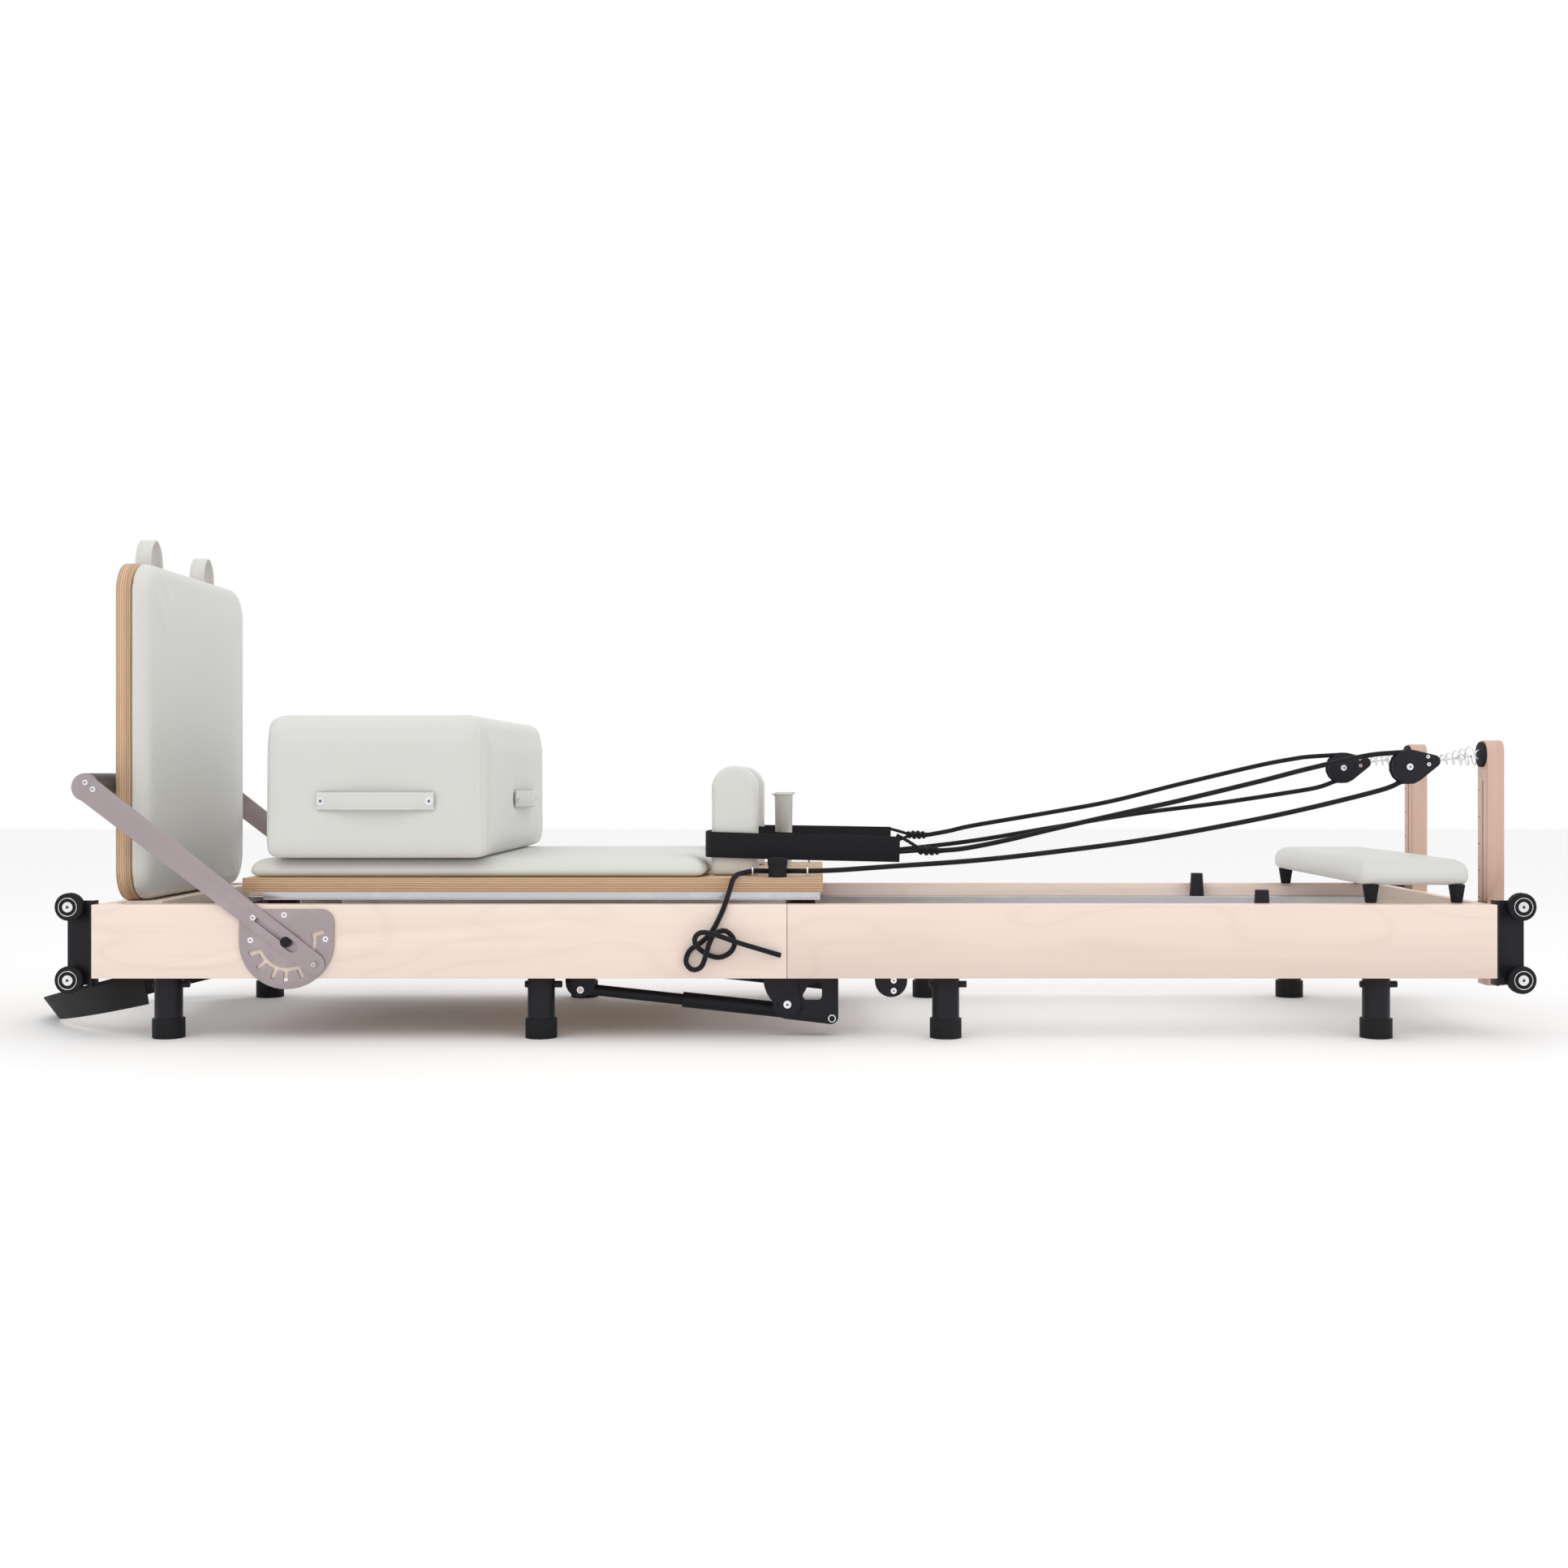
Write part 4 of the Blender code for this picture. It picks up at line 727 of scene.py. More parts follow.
def make_bolt_tree():
    """A washer, a button head and a dark hexagon of painted socket shade at each point, facing its
    own way.
    """
    w, given, out = geometry_tree("bolts", [
        ("Head Radius", FLOAT, 0.005), ("Head Height", FLOAT, 0.003),
        ("Metal", "NodeSocketMaterial", None), ("Socket", "NodeSocketMaterial", None)])
    parts = []
    # the last disc is a dark hexagon standing on the head: painted shade for the socket's hollow
    for radius, height, lift, sides, look in ((1.30, 0.30, 0.15, 24, "Metal"),
                                              (1.00, 0.75, 0.60, 24, "Metal"),
                                              (0.80, 0.30, 1.05, 24, "Metal"),
                                              (0.45, 0.10, 1.22, 6, "Socket")):
        disc = w.add("GeometryNodeMeshCylinder", Vertices=sides,
                     Radius=w.math("MULTIPLY", given["Head Radius"], radius),
                     Depth=w.math("MULTIPLY", given["Head Height"], height)).outputs[0]
        up = w.add("ShaderNodeCombineXYZ", Z=w.math("MULTIPLY", given["Head Height"], lift))
        disc = w.add("GeometryNodeTransform", Geometry=disc, Translation=up.outputs[0]).outputs[0]
        disc = w.add("GeometryNodeSetMaterial", Geometry=disc, Material=given[look])
        parts.append(disc.outputs[0])
    whole = w.add("GeometryNodeJoinGeometry")
    for part in parts:
        w.tree.links.new(part, whole.inputs[0])
    facing_way = w.add("GeometryNodeInputNamedAttribute", {"data_type": "FLOAT_VECTOR"},
                       Name="facing")
    turn = w.add("FunctionNodeAlignRotationToVector", {"axis": "Z"}, Vector=facing_way.outputs[0])
    many = w.add("GeometryNodeInstanceOnPoints", Points=given["Geometry"],
                 Instance=whole.outputs[0], Rotation=turn.outputs[0]).outputs[0]
    real = w.add("GeometryNodeRealizeInstances", Geometry=many).outputs[0]
    w.tree.links.new(real, out.inputs[0])


def make_tick_tree():
    """Thin dark marks at every point."""
    w, given, out = geometry_tree("ticks", [
        ("Width", FLOAT, 0.010), ("Height", FLOAT, 0.0009), ("Ink", "NodeSocketMaterial", None)])
    size = w.add("ShaderNodeCombineXYZ", X=0.0005, Y=given["Width"], Z=given["Height"]).outputs[0]
    bar = w.add("GeometryNodeMeshCube", Size=size).outputs[0]
    many = w.add("GeometryNodeInstanceOnPoints", Points=given["Geometry"], Instance=bar).outputs[0]
    finish_tree(w, many, given["Ink"], out)


def finish_tree(w, instances, material, out):
    real = w.add("GeometryNodeRealizeInstances", Geometry=instances).outputs[0]
    done = w.add("GeometryNodeSetMaterial", Geometry=real, Material=material).outputs[0]
    w.tree.links.new(done, out.inputs[0])


def grown(name, tree, points, edges, values, body, facings=None):
    """Runs a geometry tree on points or paths, and gives the result as a plain mesh on a body."""
    data = bpy.data.meshes.new(name)
    data.from_pydata([tuple(p) for p in points], edges, [])
    if facings:
        held = data.attributes.new("facing", "FLOAT_VECTOR", "POINT")
        held.data.foreach_set("vector", [c for f in facings for c in f])
    thing = linked(name, data)
    group = bpy.data.node_groups[tree]
    modifier = thing.modifiers.new("grow", "NODES")
    modifier.node_group = group
    for item in group.interface.items_tree:
        if item.item_type == "SOCKET" and item.in_out == "INPUT" and item.name in values:
            modifier[item.identifier] = values[item.name]
    settled(thing)
    shaded(thing.data)
    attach(thing, body)


def bolts(name, places, body, radius=None, height=None):
    """Bolt heads: (x, y, z, direction) for each."""
    sizes = bpy.context.scene.reformer_sizes
    values = {"Head Radius": radius or sizes.bolt, "Head Height": height or sizes.bolt * 0.6,
              "Metal": LOOKS["chrome"], "Socket": LOOKS["socket"]}
    grown(name, "bolts", [p[:3] for p in places], [], values, body,
          [p[3] for p in places])


def side_bolts(name, spots, y, sign, body, radius=None, height=None):
    """Bolt heads that face away from the middle: (x, z) for each."""
    bolts(name, [(x, sign * y, z, (0, sign, 0)) for x, z in spots], body, radius, height)


def stitches(name, paths, on, body):
    """Rows of stitches, laid on the surface of the object they are sewn in."""
    sizes = bpy.context.scene.reformer_sizes
    mesh = bmesh.new()
    mesh.from_mesh(on.data)
    tree = BVHTree.FromBMesh(mesh)
    points, edges = [], []
    for path in paths:
        route = smooth_route(path, 0.004)
        base = len(points)
        for point in route:
            spot, normal, _, _ = tree.find_nearest(point)
            points.append(spot + normal * 0.0002)
        edges += [(base + n, base + n + 1) for n in range(len(route) - 1)]
    mesh.free()
    values = {"Pitch": sizes.stitch_pitch, "Thread Radius": sizes.stitch_radius,
              "Thread": LOOKS["thread"]}
    grown(name, "stitches", points, edges, values, body)


# ---- cushions -------------------------------------------------------------------------------

def cushion(name, low, high, radius, crowns, spacing=0.012, flat=None, cap=0.004):
    """
    A crowned pad between two corners. crowns gives how far the faces across X, Y and Z stand out,
    and flat is the axis and sign of the face that lies on a board.
    """
    low, high = Vector(low), Vector(high)
    centre, half = (low + high) / 2, (high - low) / 2
    inset = Vector([half[k] - crowns[k] for k in range(3)])
    if flat:
        axis, sign = flat
        inset[axis] = half[axis] - crowns[axis] / 2
        centre[axis] += sign * crowns[axis] / 2
    counts = [max(3, round(2 * inset[k] / spacing)) for k in range(3)]
    mesh, seen = bmesh.new(), {}

    def corner(point):
        key = tuple(round(c, 6) for c in point)
        if key not in seen:
            seen[key] = mesh.verts.new(point)
        return seen[key]

    for axis in range(3):
        u, v = (axis + 1) % 3, (axis + 2) % 3
        for sign in (-1, 1):
            for i in range(counts[u]):
                for j in range(counts[v]):
                    ring = []
                    for a, b in ((i, j), (i + 1, j), (i + 1, j + 1), (i, j + 1)):
                        point = [0, 0, 0]
                        point[axis] = sign * inset[axis]
                        point[u] = (2 * a / counts[u] - 1) * inset[u]
                        point[v] = (2 * b / counts[v] - 1) * inset[v]
                        ring.append(corner(point))
                    mesh.faces.new(ring if sign > 0 else ring[::-1])
    for vert in mesh.verts:
        rest = vert.co.copy()
        core = Vector([max(-inset[k] + radius, min(inset[k] - radius, rest[k])) for k in range(3)])
        out = rest - core
        place = core + out.normalized() * radius if out.length > 1e-9 else rest
        for k in range(3):
            others = [(rest[m] / inset[m]) ** 2 for m in range(3) if m != k]
            swell = max(0.0, 1 - others[0] ** 1.5) * max(0.0, 1 - others[1] ** 1.5)
            side = 1 if rest[k] > 0 else -1
            if flat and k == flat[0] and side == flat[1]:
                continue
            if abs(rest[k]) > inset[k] - radius:
                place[k] += side * crowns[k] * swell ** 0.5
        vert.co = place + centre
    bmesh.ops.recalc_face_normals(mesh, faces=mesh.faces)
    thing = piece(name, mesh, "hide", smooth=0)
    thing.data.shade_smooth()
    puff(thing, flat, cap, low, high)
    finer = thing.modifiers.new("finer", "SUBSURF")
    finer.levels = finer.render_levels = 1
    return settled(thing)


def puff(thing, flat, cap, low, high):
    """Inflates the cover a little, as foam fills it, and keeps its board side flat."""
    rest = [vert.co.copy() for vert in thing.data.vertices]
    group = thing.vertex_groups.new(name="held")
    for n, point in enumerate(rest):
        held = 0.0
        if flat:
            axis, sign = flat
            reach = (point[axis] - (high if sign > 0 else low)[axis]) * -sign
            held = 1.0 if reach < 0.012 else 0.0
        group.add([n], held, "REPLACE")
    cloth = thing.modifiers.new("cloth", "CLOTH")
    settings = cloth.settings
    settings.quality = 5
    settings.use_pressure = True
    settings.uniform_pressure_force = 4.0
    settings.effector_weights.gravity = 0.0
    settings.tension_stiffness = settings.compression_stiffness = 18.0
    settings.bending_stiffness = 0.8
    if flat:
        settings.vertex_group_mass = "held"
    cloth.point_cache.frame_start = 1
    cloth.point_cache.frame_end = 20
    scene = bpy.context.scene
    for n in range(1, 21):
        scene.frame_set(n)
    graph = bpy.context.evaluated_depsgraph_get()
    moved = thing.evaluated_get(graph).to_mesh()
    shifts = [moved.vertices[n].co - point for n, point in enumerate(rest)]
    thing.evaluated_get(graph).to_mesh_clear()
    thing.modifiers.clear()
    thing.vertex_groups.clear()
    scene.frame_set(1)
    for vert, point, shift in zip(thing.data.vertices, rest, shifts):
        if shift.length > cap:
            shift = shift.normalized() * cap
        vert.co = Vector([max(low[k], min(high[k], (point + shift)[k])) for k in range(3)])


def dent(thing, spots, depth, radius, axis):
    """Presses soft dimples into a cushion's face, inwards along an axis with a sign."""
    for vert in thing.data.vertices:
        for spot in spots:
            away = vert.co - Vector(spot)
            near = abs(away[abs(axis) - 1])
            away[abs(axis) - 1] = 0
            if near < 0.03:
                push = depth * math.exp(-(away.length / radius) ** 2)
                vert.co[abs(axis) - 1] += push * (1 if axis > 0 else -1)


def ring(mesh, at, direction, radius, wire, steps=24):
    """A closed round ring about a direction."""
    section = [(radius + u, v) for u, v in arc((0, 0), wire, 0, 360, 10)[:-1]]
    add_turned(mesh, section, facing(direction, at), steps)


def rounded_outline(low, high, radius):
    """A rectangle with round corners, from one corner to the other."""
    (u0, v0), (u1, v1) = low, high
    points = []
    for centre, start in (((u1 - radius, v0 + radius), -90), ((u1 - radius, v1 - radius), 0),
                          ((u0 + radius, v1 - radius), 90), ((u0 + radius, v0 + radius), 180)):
        points += arc(centre, radius, start, start + 90, 8)
    return points


def bolster(name, outline, low, high, plane, back, front, crown, cap, voxel=0.007, flat=None):
    """
    A pad with its own outline, from low to high across it. back and front are the roundings of
    its two rims, and crown is how far the middle of the front stands out.
    """
    us, vs = [p[0] for p in outline], [p[1] for p in outline]
    centre = ((min(us) + max(us)) / 2, (min(vs) + max(vs)) / 2)
    half = ((max(us) - min(us)) / 2, (max(vs) - min(vs)) / 2)
    levels = []
    for share in (0.0, 0.3, 0.6, 0.85):
        levels.append((min(half) * (1 - share) + back * share, low))
    levels += [(back * (1 - math.sin(t)), low + back * (1 - math.cos(t)))
               for t in (math.pi / 2 * n / 4 for n in range(5))]
    top = high - crown
    levels += [(front * (1 - math.cos(t)), top - front * (1 - math.sin(t)))
               for t in (math.pi / 2 * n / 7 for n in range(8))]
    for share in (0.85, 0.65, 0.45, 0.25, 0.0):
        levels.append((min(half) * (1 - share) + front * share, top + crown * (1 - share ** 2)))
    mesh, rings = bmesh.new(), []
    for inset, across in levels:
        spots = []
        for u, v in outline:
            spot = (centre[0] + (u - centre[0]) * (1 - min(inset / half[0], 0.999)),
                    centre[1] + (v - centre[1]) * (1 - min(inset / half[1], 0.999)))
            spots.append({"XZ": (spot[0], across, spot[1]), "YZ": (across, *spot),
                          "XY": (*spot, across)}[plane])
        rings.append([mesh.verts.new(spot) for spot in spots])
    count = len(outline)
    for first, second in zip(rings, rings[1:]):
        for n in range(count):
            m = (n + 1) % count
            mesh.faces.new((first[n], first[m], second[m], second[n]))
    mesh.faces.new(rings[0])
    mesh.faces.new(rings[-1])
    bmesh.ops.recalc_face_normals(mesh, faces=mesh.faces)
    thing = piece(name, mesh, "hide", smooth=0)
    thing.data.shade_smooth()
    corners = [vert.co.copy() for vert in thing.data.vertices]
    floor = Vector([min(c[k] for c in corners) for k in range(3)])
    ceiling = Vector([max(c[k] for c in corners) for k in range(3)])
    even = thing.modifiers.new("even", "REMESH")
    even.mode = "VOXEL"
    even.voxel_size = voxel
    settled(thing)
    thing.data.materials.clear()
    thing.data.materials.append(LOOKS["hide"])
    puff(thing, flat, cap, floor, ceiling)
    finer = thing.modifiers.new("finer", "SUBSURF")
    finer.levels = finer.render_levels = 1
    settled(thing)
    thing.data.shade_smooth()
    return thing


def upholster(thing, body, node):
    """A finished cushion takes its place on its body."""
    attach(thing, body)
    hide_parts(node)


# ---- the reformer's routes ------------------------------------------------------------------

# The hand loops' route is (x, distance from the middle), the ropes' upper runs are (x, z) in the
# sheaves' planes, and the rest are (x, y, z). Fittings and tail are the front rope's.
STRAP_LOW, STRAP_HIGH = 0.311, 0.352
EYELET_Z = DECK_TOP + GAP + 0.0105
STRAP_LOOP = [(0.243, -0.2080), (0.150, -0.2260), (0.050, -0.2400), (-0.050, -0.2370),
              (-0.088, -0.2350), (-0.0985, -0.2200), (-0.1000, -0.1800), (-0.0985, -0.1400),
              (-0.088, -0.1240), (-0.030, -0.1250), (0.020, -0.1440), (0.150, -0.1820),
              (0.243, -0.2010)]
FRONT_UPPER = [(0.318, 0.3192), (0.361, 0.3235), (0.434, 0.3379), (0.520, 0.3585), (0.665, 0.3914),
               (0.737, 0.4072), (0.881, 0.4419), (0.953, 0.4607), (1.026, 0.4780), (1.083, 0.4895)]
FRONT_LOWER = [(1.098, -0.2040, 0.4268), (0.953, -0.2100, 0.3914), (0.809, -0.2170, 0.3625),
               (0.665, -0.2260, 0.3379), (0.520, -0.2360, 0.3192), (0.376, -0.2480, 0.3040),
               (0.229, -0.2620, 0.2943), (0.140, -0.2720, 0.2885)]
REAR_UPPER = [(0.318, 0.3340), (0.361, 0.3420), (0.410, 0.3530), (0.572, 0.3806), (0.686, 0.4017),
              (0.816, 0.4342), (0.978, 0.4725), (1.055, 0.4870), (1.083, 0.4905)]
REAR_LOWER = [(1.098, 0.2040, 0.4290), (1.030, 0.2070, 0.4170), (0.897, 0.2120, 0.3968),
              (0.735, 0.2200, 0.3757), (0.572, 0.2320, 0.3482), (0.410, 0.2450, 0.3206),
              (0.264, 0.2590, 0.3027), (0.140, 0.2720, 0.2895)]
FITTINGS = [(0.110, -0.2750, 0.2874), (0.080, -0.2770, EYELET_Z), (0.052, -0.2620, 0.2862),
            (0.028, -0.2520, 0.2850), (0.004, -0.2620, 0.2862), (-0.015, -0.2770, EYELET_Z)]
TAIL = [(-0.032, -0.2880, 0.2838), (-0.041, -0.3000, 0.2815),
        (-0.0475, -0.3105, 0.2745), (-0.0520, -0.3200, 0.2590), (-0.0570, -0.3315, 0.2425),
        (-0.0659, -0.3370, 0.2183), (-0.0825, -0.3370, 0.1865), (-0.1005, -0.3370, 0.1686),
        (-0.1198, -0.3375, 0.1547), (-0.1264, -0.3400, 0.1354), (-0.1157, -0.3440, 0.1229),
        (-0.1005, -0.3475, 0.1271), (-0.0922, -0.3495, 0.1464), (-0.0867, -0.3495, 0.1658),
        (-0.0784, -0.3490, 0.1824), (-0.0604, -0.3480, 0.1893), (-0.0466, -0.3460, 0.1782),
        (-0.0438, -0.3440, 0.1644), (-0.0521, -0.3420, 0.1506), (-0.0701, -0.3390, 0.1430),
        (-0.0900, -0.3385, 0.1480), (-0.1066, -0.3480, 0.1624), (-0.1104, -0.3540, 0.1769),
        (-0.0983, -0.3590, 0.1872), (-0.0740, -0.3605, 0.1830), (-0.0400, -0.3580, 0.1709),
        (-0.0051, -0.3450, 0.1589), (0.035, -0.3400, 0.1464)]


def rope(side, label, route, body=None, between=None):
    """One run of a side's rope: a tube of its own length, on a body, or with its place baked in when
    it runs between two.
    """
    mesh = bmesh.new()
    add_tube(mesh, route, ROPE_RADIUS, 12)
    bmesh.ops.recalc_face_normals(mesh, faces=mesh.faces)
    thing = piece(f"{side}_rope_{label}", mesh, "rope", body, f"{side}_rope", smooth=60)
    if between:
        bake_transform(thing)
    return thing


class REFORMER_OT_ropes(bpy.types.Operator):
    """Both ropes: hand loop to pulley, back to the eyelets and cleat, then a knotted tail"""
    bl_idname = "reformer.ropes"
    bl_label = "Ropes"

    def execute(self, context):
        for side, sign in SIDES:
            upper = FRONT_UPPER if sign < 0 else REAR_UPPER
            lower = FRONT_LOWER if sign < 0 else REAR_LOWER
            bight = arc((PULLEY_X, PULLEY_Z), BIGHT_RADIUS, 105, -110, 9)
            whole = smooth_route([(x, sign * PULLEY_Y, z) for x, z in upper + bight] + lower, 0.012)
            turn = max(range(len(whole)), key=lambda n: whole[n].x)
            cut = [next(n for n in range(turn) if whole[n].x >= x) for x in ROPE_SPLITS]
            cut += [next(n for n in range(turn, len(whole)) if whole[n].x <= x)
                    for x in ROPE_SPLITS[::-1]]
            cut = [0, *cut, len(whole) - 1]
            riser, pulley = f"{side}_riser", f"{side}_pulley"
            near, far = ROPE_SPLITS
            ways = (("pull", ("rope_ends", "right_frame", 0.33, near)),
                    ("rise", ("right_frame", riser, near, far)),
                    ("bight", (riser, pulley, far, 1.10)),
                    ("fall", ("right_frame", riser, near, far)),
                    ("return", ("rope_ends", "right_frame", 0.14, near)))
            for (label, between), a, b in zip(ways, cut, cut[1:]):
                run = whole[a:b + 1]
                thing = rope(side, label, run, between=between)
            run = smooth_route([lower[-1]] + [(x, sign * -y, z) for x, y, z in FITTINGS + TAIL],
                               0.006)
            thing = rope(side, "tail", run, body="carriage")
        return {"FINISHED"}


# ---- frames, legs and wheels ----------------------------------------------------------------

FRAME_LOOKS = ["maple", "maple_across", "aluminium", "black"]
MAPLE, MAPLE_ACROSS, ALUMINIUM, BLACK = range(4)
PEG_X, TRACK_TOP, RAIL_INNER = 0.870, 0.2085, 0.2935


def frame_finish(at, normal):
    """Which finish a face of a frame half takes, by where it lies."""
    side, near_peg = abs(at.y), abs(at.x - PEG_X) < 0.02
    if 0.2555 < side < RAIL_INNER and 0.160 < at.z < TRACK_TOP and not near_peg:
        return ALUMINIUM
    pegs = side < RAIL_INNER and near_peg and at.z > TRACK_TOP
    strut_lugs = 0.2600 < side < 0.2675 and at.z < 0.152 and abs(at.x - STRUT_PIVOT.x) < 0.028
    catches = 0.195 < at.x < 0.254 and 0.2885 < side < 0.2965 and at.z < RAIL_BOTTOM
    post_guides = at.x > 1.2585 and 0.175 < side < 0.232
    if pegs or strut_lugs or catches or post_guides:
        return BLACK
    return MAPLE_ACROSS if side < RAIL_INNER else MAPLE


class REFORMER_OT_frame(bpy.types.Operator):
    """Both halves of the frame, with their tracks and end boards"""
    bl_idname = "reformer.frame"
    bl_label = "Frame"

    def execute(self, context):
        edge = context.scene.reformer_sizes.edge
        for half in ("left", "right"):
            refined(f"{half}_frame", FRAME_LOOKS, edge, frame_finish, flat=0)
        return {"FINISHED"}


SIDE_BOLTS = (
    ("notch_screws", "left_frame", 0.3343, 0.0038, 0.00035,
     ((-0.8118, 0.2149), (-0.8693, 0.1719), (-0.7412, 0.1737))),
    ("hinge_bolt", "left_frame", 0.2937, 0.0052, 0.0022, ((FOLD_X, HINGE_Z),)),
    ("anchor_bolt", "right_frame", 0.2893, 0.0052, 0.0003, ((STRUT_ANCHOR.x, STRUT_ANCHOR.z),)),
    ("catch_bolts", "right_frame", 0.2960, 0.0040, 0.0018, ((0.2290, 0.0990), (0.2290, 0.0810))),
    ("strut_bolt", "left_frame", 0.2660, 0.0046, 0.0022, ((STRUT_PIVOT.x, STRUT_PIVOT.z),)),
)


class REFORMER_OT_fittings(bpy.types.Operator):
    """Legs, hinge plates, wheel brackets, notch plates and the spring bar"""
    bl_idname = "reformer.fittings"
    bl_label = "Fittings"

    def execute(self, context):
        for half, names in (("left", ("outer", "inner")), ("right", ("inner", "outer"))):
            for side, sign in SIDES:
                for part in names:
                    refined(f"{half}_{part}_{side}_leg", ["black", "rubber"], 0.0008,
                            lambda at, normal: 1 if at.z < LEG_CAP_TOP else 0)
                refined(f"{half}_{side}_hinge_plate", "black", 0.0006)
                refined(f"{half}_{side}_wheel_bracket", "black", 0.0006)
        for side, sign in SIDES:
            refined(f"{side}_notch_plate", "steel", 0.0006)
            for label, body, y, radius, height, spots in SIDE_BOLTS:
                side_bolts(f"{side}_{label}", spots, y, sign, body, radius, height)
        refined("spring_bar", "black", 0.0010)
        return {"FINISHED"}


class REFORMER_OT_wheels(bpy.types.Operator):
    """Eight transport wheels, each with its bolt"""
    bl_idname = "reformer.wheels"
    bl_label = "Wheels"

    def execute(self, context):
        for half, x in WHEEL_XS.items():
            for side, sign in SIDES:
                for level, z in WHEEL_ZS.items():
                    name = f"{half}_{side}_{level}_wheel"
                    refined(name, "rubber", 0.0014, segments=3)
                    side_bolts(f"{name}_bolt", [(x, z)], WHEEL_OUTER_Y, sign, name, 0.0068, 0.0009)
                    lip = bmesh.new()
                    ring(lip, (x, sign * WHEEL_OUTER_Y, z), (0, sign, 0), 0.0155, 0.0007)
                    piece(f"{name}_lip", lip, "chrome", name)
        return {"FINISHED"}


class REFORMER_OT_foot_bar(bpy.types.Operator):
    """The foot bar with its padded cross tube, arms, lock pins and shaft"""
    bl_idname = "reformer.foot_bar"
    bl_label = "Foot bar"

    def execute(self, context):
        def finish(at, normal):
            near = math.hypot(at.x - BAR_TUBE.x, at.z - BAR_TUBE.z)
            return 1 if abs(at.y) < 0.3345 and near < 0.030 else 0
        refined("foot_bar", ["steel", "foam"], 0.0010, finish, segments=3)
        refined("foot_bar_shaft", "black", 0.0006)
        for side, sign in SIDES:
            side_bolts(f"{side}_arm_screws", ((-1.1484, 0.4407), (-1.1354, 0.4293),
                                              (-0.8631, 0.2108), (-0.7599, 0.1306)),
                       0.3399, sign, "foot_bar", 0.0038)
        return {"FINISHED"}


class REFORMER_OT_springs(bpy.types.Operator):
    """Four carriage springs with hooks"""
    bl_idname = "reformer.springs"
    bl_label = "Springs"

    def execute(self, context):
        sizes = context.scene.reformer_sizes
        mesh = bmesh.new()
        left, right = SPRING_HOOKS
        for y in SPRING_YS:
            coil = helix((-1.006, y, SPRING_Z), (-0.872, y, SPRING_Z), sizes.coil, sizes.coil, 38)
            add_tube(mesh, coil, sizes.wire, 6)
            for x, way in ((left, 1), (right, -1)):
                ring(mesh, (x + way * 0.006, y, SPRING_Z), (0, 1, 0), 0.0075, sizes.wire, 16)
        add_rod(mesh, (right, -0.158, SPRING_Z), (right, 0.158, SPRING_Z), 0.0028, 12)
        thing = piece("carriage_coils", mesh, "chrome", None, "carriage_springs",
                      smooth=60)
        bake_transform(thing)
        return {"FINISHED"}


# ---- carriage -------------------------------------------------------------------------------

class REFORMER_OT_carriage(bpy.types.Operator):
    """The carriage's plywood deck, underframe, rollers and eyelets"""
    bl_idname = "reformer.carriage"
    bl_label = "Carriage"

    def execute(self, context):
        def finish(at, normal):
            if at.z > DECK_TOP + 0.0005:
                return 2
            return 0 if abs(normal.z) > 0.7 else 1
        refined("carriage_deck", ["veneer", "ply_flat", "rubber"], 0.0010, finish)
        refined("carriage_underframe", "aluminium", 0.0005)
        for half in ("left", "right"):
            refined(f"{half}_rollers", "rubber", 0.0008)
        eyes = bmesh.new()
        for _, sign in SIDES:
            for x in (-0.015, 0.080):
                at = Vector((x, sign * 0.277, EYELET_Z))
                ring(eyes, at, (1, 0, 0), 0.0078, 0.0017)
                add_rod(eyes, (x, at.y, DECK_TOP - 0.001), (x, at.y, EYELET_Z - 0.0075), 0.0024, 12)
        piece("carriage_eyelets", eyes, "chrome", "carriage", smooth=60)
        cleats = bmesh.new()
        for _, sign in SIDES:
            add_turned(cleats, [(0, 0), (0.0160, 0), (0.0160, 0.0190), (0.0152, 0.0196),
                                (0.0152, 0.0206), (0.0172, 0.0214), (0.0174, 0.0222),
                                (0.0172, 0.0306), (0.0154, 0.0330), (0.0080, 0.0346), (0, 0.0350)],
                       Matrix.Translation((CLEAT_X, sign * CLEAT_Y, DECK_TOP + GAP)), 36)
        piece("rope_cleats", cleats, "rubber", "carriage", smooth=40)
        return {"FINISHED"}


